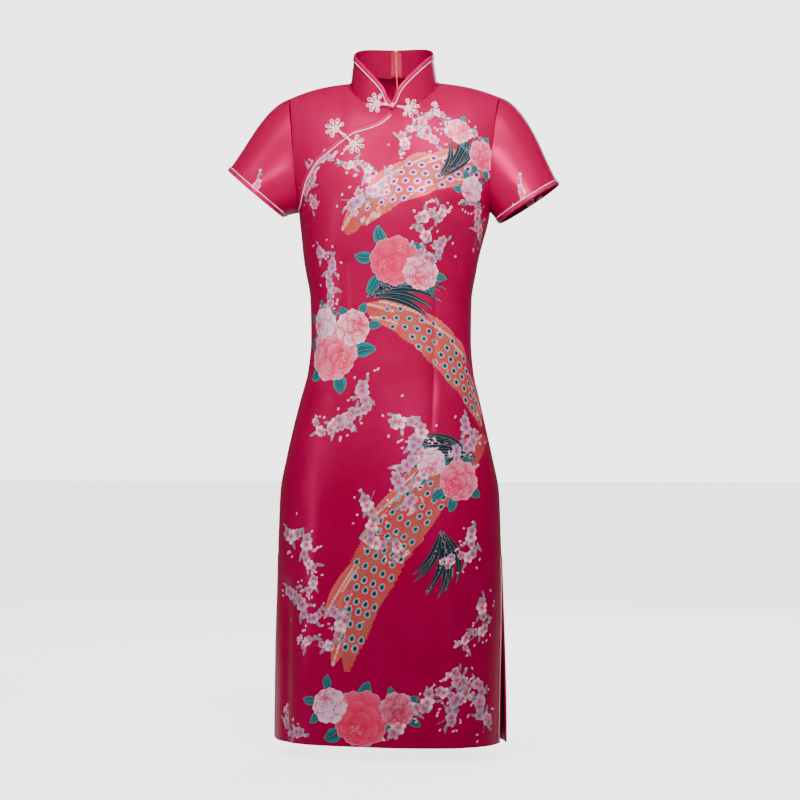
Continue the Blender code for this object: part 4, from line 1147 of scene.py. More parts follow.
def peony(ink, place, radius, turn, edge, heart):
    """An open peony seen a little from the side: rings of petals, the outer ones first."""
    lean = heading_of(turn)
    for k, (share, petals, start) in enumerate(PEONY_RINGS):
        root = np.asarray(place) - lean * radius * 0.1 * k
        for j in range(petals):
            heading = turn + start + 360 * ((j * 3) % petals if petals % 3 else j) / petals
            long = radius * share * (1 + 0.2 * math.cos(math.radians(heading - turn)))
            petal(ink, root, heading, long, long * 1.25 / petals**0.5, heart, edge, 0.1 * k)
    for j in range(5):
        heading = turn + 60 + 72 * j
        petal(ink, root, heading, radius * 0.2, radius * 0.035, "salmon", "cream")


def spray(ink, values, random):
    """A curving stem with blossoms to either side, leaves between them and buds at its tip."""
    place = (values["across"], values["up"])
    line = bent_line(place, values["heading"], values["length"], values["curl"] / values["length"])
    stem(ink, line, 0.95)
    count = max(2, round(values["blossoms"] * 0.6))
    for k in range(count):
        share = (k + 0.6) / count
        at = line[int(share * LINE_STEPS)]
        side = 1 if k % 2 else -1
        ahead = values["heading"] + values["curl"] * 0.8 * (1 - 2 * share)
        size = values["size"] * random.uniform(0.85, 1.1) * (1.1 - 0.35 * share)
        for lean in (-58, 24, 150):
            turn = ahead + lean * side + random.uniform(-8, 8)
            root = at + size * 0.9 * heading_of(turn)
            leaf = bent_line(root, turn, random.uniform(13, 20), 0.12 * side)
            slip(ink, leaf, random.uniform(2.2, 2.9), "grey", "mist")
        for off, reach, scale, colours in (
            (115, 0.8, 0.85, ("mist", "grey")),
            (-20, 1.1, 0.7, ("mist", "grey")),
            (60, 0.5, 1.0, (values["edge"], values["heart"])),
        ):
            turn = ahead + side * (off + random.uniform(-20, 20))
            spot = at + size * reach * heading_of(turn)
            blossom(ink, spot, size * scale, random.uniform(0, 72), *colours)
        for _ in range(5):
            turn = random.uniform(0, 360)
            spot = at + size * random.uniform(1.7, 2.6) * heading_of(turn)
            petal(ink, spot, random.uniform(0, 360), 5.5, 1.7, "pale_pink", "blush")
    for k in range(2):
        bud = line[-1] + k * np.array([5, 6]) * (1 if values["curl"] > 0 else -1)
        blossom(ink, bud, 4.4 - 0.8 * k, 20 * k, "blush", "rose")


def eye(ink, middle, ahead, radius, tone):
    """One drop-shaped eye of a plume."""
    here = near(ink, middle, radius * 2.4)
    step = ink["place"][here] - middle
    along, aside = step @ ahead, step @ np.array([-ahead[1], ahead[0]])
    out = np.hypot(along / 1.3, aside * (1 + 0.035 * np.clip(-along, -4, 6))) / radius
    over = out < ink["feather"][here, 1]
    ink["feather"][here[over], 1] = out[over]
    ink["feather"][here[over], 2] = float(tone)


def sweep(ink, values, random):
    """Overlapping plumes along a bent line, each turned a little outward, with rows of eyes."""
    place = (values["across"], values["up"])
    line = bent_line(place, values["heading"], values["length"], values["curl"], SWEEP_STEPS)
    ahead = unit(np.gradient(line, axis=0))
    square = np.stack([-ahead[:, 1], ahead[:, 0]], -1)
    here, share, aside, run = along_line(ink, line, values["width"] * 1.4)
    half = values["width"] * np.sin(math.pi * (0.015 + 0.97 * np.clip(share, 0, 1))) ** 0.7
    ragged = 1.7 * np.cos((share * run - 0.9 * np.abs(aside)) * 1.2566) + 1.5 * np.sin(share * 31)
    distance = np.minimum(half - np.abs(aside) + ragged, np.minimum(share, 1 - share) * run)
    shade = 0.5 + 0.3 * np.sin(share * 19 + aside * 0.09) + 0.2 * np.sin(share * 47 - aside * 0.21)
    spots, over = lay(ink, "plumes", here, distance, mixed("tan", "coral", shade))
    barbs = (share * run - 0.9 * np.abs(aside)) / BARB_SPACE + 0.25 * np.sin(aside * 0.5)
    ink["feather"][spots, 0] = barbs[over]
    count = int(values["count"])
    for k in range(count):
        share = 0.74 * k / (count - 1)
        at = int(share * SWEEP_STEPS)
        side = (-1) ** k
        swell = math.sin(math.pi * (0.1 + 0.86 * share / 0.74)) ** 0.8
        root = line[at] + square[at] * side * values["width"] * swell * random.uniform(0.1, 0.95)
        heading = math.degrees(math.atan2(ahead[at, 1], ahead[at, 0])) + side * random.uniform(-2, 5)
        long = values["length"] * (0.27 + 0.04 * random.uniform(-1, 1))
        feather = bent_line(root, heading, long, values["curl"] * 0.4 - side * 0.03)
        plume(ink, feather, 13.0 * random.uniform(0.8, 1.05), random.uniform(0, 1))
    step = 0
    for at in np.arange(0.12, 0.97, EYE_SPACE / values["length"]):
        k = int(at * SWEEP_STEPS)
        wide = (values["width"] - 4) * math.sin(math.pi * (0.015 + 0.97 * at)) ** 0.7
        step += 1
        for off in (np.arange(-3, 4) + 0.5 * (step % 2)) * EYE_SPACE * 0.86:
            if abs(off) < wide:
                radius = EYE_RADIUS * (0.85 + 0.35 * at)
                eye(ink, line[k] + square[k] * off, ahead[k], radius, values["tone"])


def fan(ink, values, random):
    """A fan of dark narrow feathers."""
    count = int(values["count"])
    place = np.array([values["across"], values["up"]])
    for k in range(count):
        share = k / max(1, count - 1)
        spread = (values["last"] - values["first"] + 180) % 360 - 180
        heading = values["first"] + spread * share + random.uniform(-3, 3)
        full = math.sin(math.pi * (0.15 + 0.7 * share))
        length = values["short"] + (values["long"] - values["short"]) * full * random.uniform(0.85, 1.05)
        root = place + random.uniform(-7, 7, 2)
        line = bent_line(root, heading, length, values["curl"] * random.uniform(0.8, 1.2))
        width = values["width"] * random.uniform(0.85, 1.1)
        slip(ink, line, width, "night", "leaf")


def printed(across, up, peonies=(), sprays=(), sweeps=(), fans=(), seed=0):
    """The whole print over some cloth, as attributes of its points."""
    ink = blank_print(across, up)
    random = np.random.default_rng(seed)
    for values in rows_of(SWEEP_COLUMNS, sweeps):
        sweep(ink, values, random)
    for values in rows_of(FAN_COLUMNS, fans):
        fan(ink, values, random)
    for values in rows_of(PEONY_COLUMNS, peonies):
        place = np.array([values["across"], values["up"]])
        for k in range(5):
            heading = values["turn"] + 72 * k + random.uniform(-14, 14)
            start = place + values["radius"] * 0.72 * heading_of(heading)
            leaf = bent_line(start, heading + 12, values["radius"] * random.uniform(0.7, 0.95), 0.12)
            slip(ink, leaf, values["radius"] * 0.26, "leaf", "teal")
        peony(ink, place, values["radius"], values["turn"], values["edge"], values["heart"])
    for values in rows_of(SPRAY_COLUMNS, sprays):
        spray(ink, values, random)
    del ink["place"]
    return ink


def new_group(name, inputs, outputs):
    """An empty shader node group with its sockets."""
    tree = bpy.data.node_groups.new(name, "ShaderNodeTree")
    for way, sockets in (("INPUT", inputs), ("OUTPUT", outputs)):
        for label, kind, *value in sockets:
            made = tree.interface.new_socket(label, in_out=way, socket_type="NodeSocket" + kind)
            if value:
                made.default_value = value[0]
    return tree, tree.nodes.new("NodeGroupInput").outputs, tree.nodes.new("NodeGroupOutput").inputs


def feed(tree, socket, value):
    """Links an output into a socket, or sets it to a plain value."""
    if hasattr(value, "is_linked"):
        tree.links.new(value, socket)
    else:
        socket.default_value = value


def sums(tree, operation, *values, clamp=False):
    made = tree.nodes.new("ShaderNodeMath")
    made.operation = operation
    made.use_clamp = clamp
    for socket, value in zip(made.inputs, values):
        feed(tree, socket, value)
    return made.outputs[0]


def wave_of(tree, value):
    """Rises from 0 to 1 and falls back over each whole step of a value."""
    return sums(tree, "ABSOLUTE", sums(tree, "SINE", sums(tree, "MULTIPLY", value, math.pi)))


def mixture(tree, a, b, share):
    """The first value's share of 1 and the rest of the second."""
    return sums(tree, "ADD", sums(tree, "MULTIPLY", a, share), sums(tree, "MULTIPLY", b, 1 - share))


def within(tree, value, limit, soft):
    """1 where a value is below its limit, 0 where it is above."""
    past = between(tree, sums(tree, "SUBTRACT", value, limit), -soft, soft)
    return sums(tree, "SUBTRACT", 1.0, past)


def between(tree, value, low, high):
    """0 below low and 1 above high, with a soft step between."""
    made = tree.nodes.new("ShaderNodeMapRange")
    made.interpolation_type = "SMOOTHSTEP"
    for socket, entry in zip(made.inputs[:3], (value, low, high)):
        feed(tree, socket, entry)
    return made.outputs[0]


def blend_colour(tree, share, under, over):
    made = tree.nodes.new("ShaderNodeMix")
    made.data_type = "RGBA"
    feed(tree, made.inputs[0], share)
    feed(tree, made.inputs[6], under)
    feed(tree, made.inputs[7], over)
    return made.outputs[2]


def noise(tree, vector, scale, detail=2.0):
    made = tree.nodes.new("ShaderNodeTexNoise")
    feed(tree, made.inputs["Vector"], vector)
    feed(tree, made.inputs["Scale"], scale)
    feed(tree, made.inputs["Detail"], detail)
    return made.outputs[0]


def scaled(tree, vector, by):
    made = tree.nodes.new("ShaderNodeVectorMath")
    made.operation = "MULTIPLY"
    feed(tree, made.inputs[0], vector)
    feed(tree, made.inputs[1], by)
    return made.outputs[0]


def parts_of(tree, vector):
    made = tree.nodes.new("ShaderNodeSeparateXYZ")
    feed(tree, made.inputs[0], vector)
    return made.outputs


def print_layer_group():
    """Lays one layer of the print on what is under it, with its rim and its fine lines."""
    tree, given, out = new_group(
        "Print Layer",
        [
            ("Under", "Color"), ("Ink", "Color"), ("Distance", "Float"),
            ("Rim", "Color"), ("Rim Width", "Float"),
            ("Line", "Color"), ("Line Distance", "Float"), ("Line Width", "Float"),
        ],
        [("Colour", "Color"), ("Mask", "Float")],
    )
    mask = between(tree, given["Distance"], -0.2, 0.2)
    rim = within(tree, given["Distance"], given["Rim Width"], 0.2)
    line = within(tree, given["Line Distance"], given["Line Width"], 0.3)
    ink = blend_colour(tree, sums(tree, "MULTIPLY", line, 0.75), given["Ink"], given["Line"])
    ink = blend_colour(tree, sums(tree, "MULTIPLY", rim, 0.8), ink, given["Rim"])
    feed(tree, out["Colour"], blend_colour(tree, mask, given["Under"], ink))
    feed(tree, out["Mask"], mask)
    return tree


# The two kinds of eye, middle to rim: share of the radius and the colour there.
EYE_RINGS = (
    ((0.0, "violet"), (0.48, "violet"), (0.6, "lilac"), (0.76, "pale_pink"), (0.9, "lilac"), (1.0, "coral")),
    ((0.0, "night"), (0.34, "night"), (0.46, "teal"), (0.66, "teal"), (0.8, "pale_pink"), (1.0, "coral")),
)


def eye_group():
    """The rings of a plume's eye, violet or teal, laid on what is under it."""
    tree, given, out = new_group(
        "Feather Eye",
        [("Under", "Color"), ("Radius", "Float"), ("Tone", "Float")],
        [("Colour", "Color"), ("Mask", "Float")],
    )
    faces = []
    for stops in EYE_RINGS:
        ramp_node = tree.nodes.new("ShaderNodeValToRGB")
        ramp_node.color_ramp.interpolation = "EASE"
        elements = ramp_node.color_ramp.elements
        while len(elements) < len(stops):
            elements.new(0.5)
        for element, (place, name) in zip(elements, stops):
            element.position = place
            element.color = (*TINTS[name], 1)
        feed(tree, ramp_node.inputs[0], given["Radius"])
        faces.append(ramp_node.outputs[0])
    mask = sums(tree, "SUBTRACT", 1.0, between(tree, given["Radius"], 0.97, 1.05))
    rings = blend_colour(tree, given["Tone"], *faces)
    feed(tree, out["Colour"], blend_colour(tree, mask, given["Under"], rings))
    feed(tree, out["Mask"], mask)
    return tree


def satin_group():
    """Fine long floats of satin thread with broad unevenness."""
    tree, given, out = new_group(
        "Satin Weave",
        [("Place", "Vector"), ("Scale", "Float", 1.0)],
        [("Height", "Float"), ("Shade", "Float")],
    )
    floats, slub, broad = (
        noise(tree, scaled(tree, given["Place"], (*fineness, 1.0)), given["Scale"], detail)
        for fineness, detail in (((2600.0, 520.0), 1.0), ((700.0, 60.0), 2.0), ((14.0, 9.0), 2.0))
    )
    feed(tree, out["Height"], mixture(tree, floats, slub, 0.7))
    feed(tree, out["Shade"], mixture(tree, broad, slub, 0.7))
    return tree


def cord_group():
    """Slanting strands round a cord, with Shade as painted shade: low in the grooves, high on the crowns."""
    tree, given, out = new_group(
        "Cord Strands",
        [("Place", "Vector"), ("Pitch", "Float", 0.0012), ("Strands", "Float", 2.0)],
        [("Height", "Float"), ("Shade", "Float")],
    )
    along, round_it, _ = parts_of(tree, given["Place"])
    slant = sums(tree, "MULTIPLY", round_it, given["Strands"])
    wave = wave_of(tree, sums(tree, "ADD", sums(tree, "DIVIDE", along, given["Pitch"]), slant))
    threads = noise(tree, scaled(tree, given["Place"], (3000.0, 40.0, 1.0)), 1.0, 1.0)
    feed(tree, out["Height"], sums(tree, "ADD", wave, sums(tree, "MULTIPLY", threads, 0.3)))
    # Shade is painted shade: it follows the strands' height, dark in the grooves between them
    feed(tree, out["Shade"], sums(tree, "POWER", wave, 0.5))
    return tree


GROUPS = {"print": print_layer_group(), "eye": eye_group(), "satin": satin_group(), "cord": cord_group()}


def grouped(tree, name, **values):
    made = tree.nodes.new("ShaderNodeGroup")
    made.node_tree = GROUPS[name]
    for key, value in values.items():
        feed(tree, made.inputs[key.replace("_", " ")], value)
    return made.outputs


def attribute(tree, name):
    made = tree.nodes.new("ShaderNodeAttribute")
    made.attribute_name = name
    return made.outputs


def finish_of(name, roughness, specular=0.5, sheen=0.0, sheen_tint=None, metallic=0.0, anisotropic=0.0):
    """A new material's tree and its shader, with the plain values set on the shader."""
    made = bpy.data.materials.new(name)
    made.use_nodes = True
    shader = made.node_tree.nodes["Principled BSDF"]
    shader.inputs["Roughness"].default_value = roughness
    shader.inputs["Specular IOR Level"].default_value = specular
    shader.inputs["Sheen Weight"].default_value = sheen
    shader.inputs["Metallic"].default_value = metallic
    shader.inputs["Anisotropic"].default_value = anisotropic
    if sheen_tint is not None:
        shader.inputs["Sheen Roughness"].default_value = 0.4
        shader.inputs["Sheen Tint"].default_value = (*sheen_tint, 1)
    return made, made.node_tree, shader


def bumped(tree, shader, height, strength, distance):
    made = tree.nodes.new("ShaderNodeBump")
    made.inputs["Strength"].default_value = strength
    made.inputs["Distance"].default_value = distance
    feed(tree, made.inputs["Height"], height)
    feed(tree, shader.inputs["Normal"], made.outputs[0])


def colour(name):
    return (*TINTS[name], 1.0)


# How each layer of the print is drawn: its rim's colour and width, and its fine lines' colour and width.
LAYER_LOOKS = {
    "plumes": ("salmon", 0.4, "wine", 0.5),
    "leaves": ("grey", 0.3, "mist", 0.3),
    "petals": ("blush", 0.4, "rose", 0.5),
}


def satin_finish(name, dark, light, with_print):
    """Lustrous satin, plain or with the print's layers on it."""
    made, tree, shader = finish_of(name, 0.36, 0.15, metallic=0.14, anisotropic=0.3)
    shader.inputs["Specular Tint"].default_value = (1.0, 0.12, 0.5, 1)
    weave = grouped(tree, "satin", Place=attribute(tree, "weave")["Vector"])
    base = blend_colour(tree, weave["Shade"], colour(dark), colour(light))
    roughness = sums(tree, "MULTIPLY_ADD", weave["Shade"], 0.12, 0.24)
    if with_print:
        feather, marks = attribute(tree, "feather"), attribute(tree, "marks")
        barb, radius, tone = parts_of(tree, feather["Vector"])
        rib, petal_line, veins = parts_of(tree, marks["Vector"])
        side_veins = sums(tree, "MULTIPLY_ADD", wave_of(tree, veins), 2.0, 0.3)
        lines = {
            "plumes": sums(tree, "MULTIPLY", wave_of(tree, barb), 2.0),
            "leaves": sums(tree, "MINIMUM", sums(tree, "ABSOLUTE", rib), side_veins),
            "petals": sums(tree, "ABSOLUTE", petal_line),
        }
        inked = 0.0
        for layer in LAYER_NAMES:
            rim, rim_width, line, line_width = LAYER_LOOKS[layer]
            ink = attribute(tree, layer)
            laid = grouped(
                tree, "print", Under=base, Ink=ink["Color"], Distance=ink["Alpha"],
                Rim=colour(rim), Rim_Width=rim_width,
                Line=colour(line), Line_Distance=lines[layer], Line_Width=line_width,
            )
            base = laid["Colour"]
            inked = sums(tree, "MAXIMUM", laid["Mask"], inked)
            if layer == "plumes":
                base = grouped(tree, "eye", Under=base, Radius=radius, Tone=tone)["Colour"]
        roughness = sums(tree, "MULTIPLY_ADD", inked, 0.06, roughness)
    feed(tree, shader.inputs["Base Color"], base)
    feed(tree, shader.inputs["Roughness"], roughness)
    bumped(tree, shader, weave["Height"], 0.18, 0.0003)
    return made


def cord_finish(name, dark, light, pitch, strands, sheen):
    """Twisted or woven cord, its strands slanting round it, shade painted in their grooves and light on
    their crowns.
    """
    made, tree, shader = finish_of(name, 0.42, 0.5, sheen, TINTS["blush"])
    strand = grouped(tree, "cord", Place=attribute(tree, "weave")["Vector"], Pitch=pitch, Strands=strands)
    # Painted shade and light: the dark colour in the grooves between strands, the light one on their crowns
    base = blend_colour(tree, strand["Shade"], colour(dark), colour(light))
    feed(tree, shader.inputs["Base Color"], base)
    feed(tree, shader.inputs["Roughness"], sums(tree, "MULTIPLY_ADD", strand["Shade"], -0.1, 0.5))
    bumped(tree, shader, strand["Height"], 0.6, 0.0003)
    return made


def body_panel(node, face, columns, rows, finish, motifs, tables):
    """A panel of the body, printed. Returns its points and normals."""
    points, normals = body_point(face, columns, rows), body_normal(face, columns, rows)
    across, up = flat_place(tables[face], columns, rows)
    keep_sheet(shell(node + "_cloth", points, normals, finish, printed(across, up, *motifs)), node)
    return points, normals


# Points between a slit's edge and those that give its trims their direction.
INSIDE_COLUMNS = 4


def slit_lines(grid, rows, at):
    """A panel's side edge below the slit's top and the line inside it, as a trim needs them."""
    points, normals = grid
    below = rows[:, at] < row_of_height(SLIT_TOP_Z) + 1e-6
    inward = at + (INSIDE_COLUMNS if at == 0 else -INSIDE_COLUMNS)
    edge = points[below, at]
    step = points[below, inward] - edge
    length = np.linalg.norm(step, axis=-1, keepdims=True)
    inside = edge + step / length * TRIM_SPACE
    return (edge, inside), (normals[below, at], normals[below, inward])


def make_body(finish, trim_finishes):
    """The main front, the small upper front and both halves of the back, with their trims."""
    tables = {face: flat_table(face) for face in (-1, 1)}
    motifs = (FRONT_PEONIES, FRONT_SPRAYS, FRONT_SWEEPS, DARK_FANS, 5)
    columns, rows, crossing = front_params()
    grid = body_panel("front", -1, columns, rows, finish, motifs, tables)
    body_panel("front_upper", -1, *upper_params(), finish, motifs, tables)
    overlap = [values[:, crossing] for values in grid]
    trim("lapel", *edge_lines(*overlap), trim_finishes, LAPEL_SECTION)
    motifs = (BACK_PEONIES, BACK_SPRAYS, BACK_SWEEPS, BACK_DARK_FANS, 9)
    for side, name in SIDES:
        trim(f"slit_front_{name}", *slit_lines(grid, rows, 0 if side < 0 else -1), trim_finishes)
        columns, back_rows = back_params(side)
        back = body_panel(f"back_{name}", 1, columns, back_rows, finish, motifs, tables)
        trim(f"slit_back_{name}", *slit_lines(back, back_rows, -1), trim_finishes)


def cloth_per_step(surface, around, low, high):
    """Length of a sleeve's cloth per step outwards, between two places along it."""
    step = surface(around, 0 * around + high) - surface(around, 0 * around + low)
    return np.linalg.norm(step, axis=-1) / (high - low)


def make_sleeves(finish, trim_finishes):
    """Both sleeves with a few puckers at the armhole, and their cuffs' trims."""
    for values in rows_of(SLEEVE_COLUMNS, SLEEVES):
        name = dict(SIDES)[values["side"]]
        surface, normal = sleeve_surface(values)
        fine = np.linspace(0, 1, 721)
        ring = surface(fine, np.full(fine.shape, 0.5))
        run = np.append(0, np.cumsum(np.linalg.norm(np.diff(ring, axis=0), axis=1)))
        around = np.interp(np.arange(SLEEVE_RING) / SLEEVE_RING * run[-1], run, fine)
        begin = SEAM_GAP / cloth_per_step(surface, around, 0, 0.02)
        inner = 1 - TRIM_SPACE / cloth_per_step(surface, around, 0.8, 1)
        out = begin + np.multiply.outer(np.linspace(0, 1, SLEEVE_FINE_ROWS), inner - begin)
        share = np.linspace(0, 1, TRIM_ROWS + 1)[1:, None]
        out = np.concatenate([out, inner + (1 - inner) * share])
        wide = np.broadcast_to(around, out.shape)
        points, normals = surface(wide, out), normal(wide, out)
        puckers = np.sin(wide * 44 + 3 * out) * (1 - out) ** 2 * np.sin(wide * 2 * math.pi) ** 2
        points = points + normals * (PUCKER_HEIGHT * puckers)[..., None]
        across = np.broadcast_to(np.arange(SLEEVE_RING) / SLEEVE_RING * run[-1] / MM, out.shape)
        up = np.linalg.norm(points - points[:1], axis=-1) / MM
        ink = printed(across, up, sprays=SLEEVE_SPRAYS, seed=3)
        piece = shell(f"sleeve_{name}_cloth", points, normals, finish, ink, around=True)
        keep_sheet(piece, f"sleeve_{name}")
        trim(f"cuff_{name}", *edge_lines(points, normals), trim_finishes, closed=True)


def collar_params(side):
    """Angles and heights of one collar half's points, its parting at the back included."""
    share = np.linspace(0, 1, COLLAR_FINE)
    first = 0.6 * MM / NECK_FRONT
    nominal = first + (math.pi - first) * share
    top = collar_height(nominal)
    run = np.linalg.norm(np.gradient(neck_point(nominal), axis=0), axis=-1)
    inner = top - np.minimum(TRIM_SPACE * np.hypot(1, np.gradient(top) / run), top * 0.75)
    low = np.multiply.outer(np.linspace(0, 1, 9), inner)
    strip = inner + (top - inner) * np.linspace(0, 1, TRIM_ROWS + 1)[1:, None]
    heights = np.concatenate([low, strip])
    last = math.pi - (SEAM_GAP + COLLAR_BACK_PART * heights[:, -1:] / COLLAR_HEIGHT) / NECK_BACK
    return (first + (last - first) * share) * side, heights


def make_collars(finish, trim_finishes):
    """Both halves of the standing collar, which carries no print, and their trims."""
    for side, name in SIDES:
        angles, heights = collar_params(side)
        points, normals = collar_point(angles, heights), collar_normal(angles, heights)
        ink = printed(angles, heights)
        piece = shell(f"collar_{name}_cloth", points, normals, finish, ink, COLLAR_CLOTH)
        keep_sheet(piece, f"collar_{name}")
        trim(f"collar_{name}", *edge_lines(points, normals), trim_finishes)


# The zip's tapes: columns of their edges, and how deep both faces and the coil lie inside the cloth.
TAPE_COLUMNS = (0.0012, 0.034)
TAPE_DEPTHS = (0.2 * MM, 0.9 * MM)
COIL_COLUMN = 0.0022
COIL_DEPTH = 1.3 * MM
COIL_WIRE = 0.3 * MM


def zip_line(columns, depth):
    """Points down the centre back inside the cloth, collar's top to the zip's end."""
    heights = np.linspace(COLLAR_HEIGHT - 0.5 * MM, 0.5 * MM, 12)[:, None]
    angles = math.pi - np.abs(columns) / NECK_COLUMN * math.pi / 2
    angles = np.minimum(angles, math.pi - 0.3 * MM / NECK_BACK)
    angles = angles * np.sign(columns)
    heights = heights + 0 * angles
    within_collar = collar_normal(angles, heights) * (COLLAR_CLOTH + depth)
    rows = np.linspace(TOP_ROW - 0.004, row_of_height(ZIP_END_Z), 150)[:, None]
    within_back = body_normal(1, columns, rows) * (CLOTH + depth)
    collar = collar_point(angles, heights) - within_collar
    return np.concatenate([collar, body_point(1, columns, rows) - within_back])


def make_zip(tape_finish, metal):
    """Woven tapes and coil teeth inside the back, and the finish of the slider and its tab."""
    for side, name in SIDES:
        columns = np.linspace(*TAPE_COLUMNS, 5) * side
        outer, inner = (zip_line(columns, depth) for depth in TAPE_DEPTHS)
        rings = np.concatenate([outer, inner[:, ::-1]], axis=1)
        keep(swept(f"zip_tape_{name}_woven", rings, tape_finish), f"zip_tape_{name}", "zip_tape")
    for side, name in SIDES:
        line = zip_line(np.array([COIL_COLUMN * side]), COIL_DEPTH)[:, 0]
        run = np.append(0, np.cumsum(np.linalg.norm(np.diff(line, axis=0), axis=1)))
        count = int(run[-1] / TOOTH_PITCH)
        turn = np.arange(count * 6) * math.pi / 3 + (math.pi if side > 0 else 0)
        at = np.arange(count * 6) / (count * 6) * run[-1]
        middle = np.stack([np.interp(at, run, line[:, k]) for k in range(3)], -1)
        middle[:, 0] += 1.1 * MM * np.cos(turn)
        middle[:, 1] += 0.7 * MM * np.sin(turn)
        keep(tube(f"zip_coil_{name}", middle, COIL_WIRE, metal, sides=6), None, "zip_metal")
    for node in ("zip_slider", "zip_pull_tab"):
        frame["nodes"][node].data.materials.clear()
        frame["nodes"][node].data.materials.append(metal)


def seam_strip(name, points, normals, finish):
    """The pressed-open turnings behind a seam, on the cloth's inner side."""
    rings = [points - normals * (CLOTH + gap * MM) for gap in (0.15, 0.5)]
    piece = swept(name, np.concatenate([rings[0], rings[1][:, ::-1]], axis=1), finish)
    keep(piece, None, "binding_satin")


def make_turnings(finish):
    """Turnings below the zip and at both side seams."""
    rows = np.linspace(0.003, row_of_height(ZIP_END_Z - 4 * MM), 90)[:, None]
    wide = np.linspace(-0.05, 0.05, 9)
    seam_strip("centre_back_turnings", body_point(1, wide, rows), body_normal(1, wide, rows), finish)
    ends = row_of_height([SLIT_TOP_Z + 2 * MM, UNDERARM_Z - 4 * MM])
    rows = np.linspace(*ends, 90)[:, None]
    for side, name in SIDES:
        wide = np.array([0.955, 0.97, 0.985, 0.998]) * side
        points, normals = (
            np.concatenate([place(-1, wide, rows), place(1, wide, rows)[:, ::-1]], axis=1)
            for place in (body_point, body_normal)
        )
        seam_strip(f"side_{name}_turnings", points, normals, finish)


def ground_tree():
    """What the frogs lie on, as one tree for rays: the visible fronts, collar and their trims."""
    points, faces = [], []
    starts = ("front_cloth", "front_upper", "collar_", "lapel_edge")
    ends = ("_cloth", "_binding", "_piping")
    for made in bpy.context.scene.objects:
        if made.name.startswith(starts) and made.name.endswith(ends):
            first = len(points)
            points.extend(v.co.copy() for v in made.data.vertices)
            faces.extend([first + v for v in f.vertices] for f in made.data.polygons)
    return BVHTree.FromPolygons(points, faces)


def laid_on(tree, flat, radius):
    """A cord's flat (x, z) points laid on the front, each as deep as it can lie."""
    depths = []
    for x, z in flat:
        around = ((x, z), (x + radius, z), (x - radius, z), (x, z + radius), (x, z - radius))
        hits = [tree.ray_cast(Vector((p, -0.4, q)), Vector((0, 1, 0)))[0] for p, q in around]
        front = [hit.y for hit in hits if hit is not None and hit.y < 0]
        depths.append(min(front, default=-0.08) - radius * 0.8)
    depths = np.pad(depths, 4, mode="edge")
    depths = np.min([depths[k : k + len(flat) + 4] for k in range(5)], axis=0)
    depths = np.mean([depths[k : k + len(flat)] for k in range(5)], axis=0)
    return np.stack([flat[:, 0], depths, flat[:, 1]], -1)


# A frog's flower: how far its middle lies from the root, and its double loops' headings and reaches.
FLOWER_OUT = 12.5
FLOWER_LOOPS = ((-104, 7.6), (-60, 9.6), (-20, 10.4), (20, 10.4), (60, 9.6), (104, 7.6))


def flower_cords():
    """One flower of a frog, in millimetres: a coil of three turns, six double loops round it and two
    stems to its root at the origin. It opens along +x."""
    share = np.linspace(0, 1, 90)
    turn = np.radians(200 - 1080 * share)
    radius = 0.9 + 5.0 * share
    cords = [np.stack([FLOWER_OUT + radius * np.cos(turn), radius * np.sin(turn)], -1)]
    around = np.linspace(-math.pi, math.pi, 41)
    for heading, reach in FLOWER_LOOPS:
        ahead = heading_of(heading)
        aside = np.array([-ahead[1], ahead[0]])
        for size in (1.0, 0.52):
            out = 6.6 + reach * size * (0.5 + 0.5 * np.cos(around))
            off = 3.4 * size * np.sin(around) * (0.65 + 0.35 * np.cos(around))
            cords.append(np.outer(out, ahead) + np.outer(off, aside) + np.array([FLOWER_OUT, 0]))
    for off in (-0.95, 0.95):
        cords.append(np.array([(-5.0, off * 0.8), (0.0, off), (3.0, off), (6.5, off * 1.6)]))
    return cords


def joined(name, meshes, finish):
    """Several meshes made one object."""
    objects = []
    for mesh in meshes:
        objects.append(bpy.data.objects.new(name, mesh))
        bpy.context.scene.collection.objects.link(objects[-1])
    made = objects[0]
    with bpy.context.temp_override(active_object=made, selected_editable_objects=objects):
        bpy.ops.object.join()
    made.data.polygons.foreach_set("use_smooth", [True] * len(made.data.polygons))
    made.data.materials.append(finish)
    return made


# Groups of bands that make a knot button: how far each is tipped and leant, the three bands' shifts
# across it, their cord's radius and their points.
KNOT_TURNS = ((0.0, 0.3), (math.pi / 2, -0.2), (math.pi / 4, 0.9), (-math.pi / 4, -0.9))
KNOT_SHIFTS = (-1.3 * MM, 0.0, 1.3 * MM)
KNOT_CORD = 0.85 * MM
KNOT_POINTS = 24


def knot_bands(middle, cloth):
    """The bands of cord that cover a knot button."""
    meshes = []
    turn = np.linspace(0, 2 * math.pi, KNOT_POINTS + 1)[:-1]
    for tip, lean in KNOT_TURNS:
        spin = np.array(Euler((tip, lean, tip * 0.7)).to_matrix())
        for shift in KNOT_SHIFTS:
            radius = math.sqrt(KNOT_RADIUS**2 - shift**2) - 0.5 * MM
            ring = [radius * np.cos(turn), np.full(KNOT_POINTS, shift), radius * np.sin(turn)]
            band = middle + np.stack(ring, -1) @ spin.T
            meshes.append(tube("band", band, KNOT_CORD, cloth, 8, True, True))
    return meshes


def make_frogs(cord, cloth):
    """Both frog fastenings: a flower of cords to either side of each knot button."""
    tree = ground_tree()
    for values in rows_of(FROG_COLUMNS, FROGS):
        centre = np.array([values["x"], values["z"]]) * MM
        along = heading_of(values["tilt"])
        across = np.array([-along[1], along[0]])
        for side, name in SIDES:
            meshes = []
            for line in flower_cords():
                out = (line[:, 0] - FLOWER_OUT + values["reach"]) * side * MM
                flat = centre + np.outer(out, along) + np.outer(line[:, 1] * MM, across)
                line = laid_on(tree, flat, FROG_CORD)
                meshes.append(tube("cord", line, FROG_CORD, cord, 8, mesh_only=True))
            node = f"frog_{values['name']}_{name}"
            keep(joined(node + "_flower", meshes, cord), node, "frog_cord")
        middle = laid_on(tree, centre[None, :], KNOT_RADIUS)[0]
        node = f"frog_{values['name']}_knot"
        keep(joined(node + "_button", knot_bands(middle, cloth), cloth), node, "binding_satin")


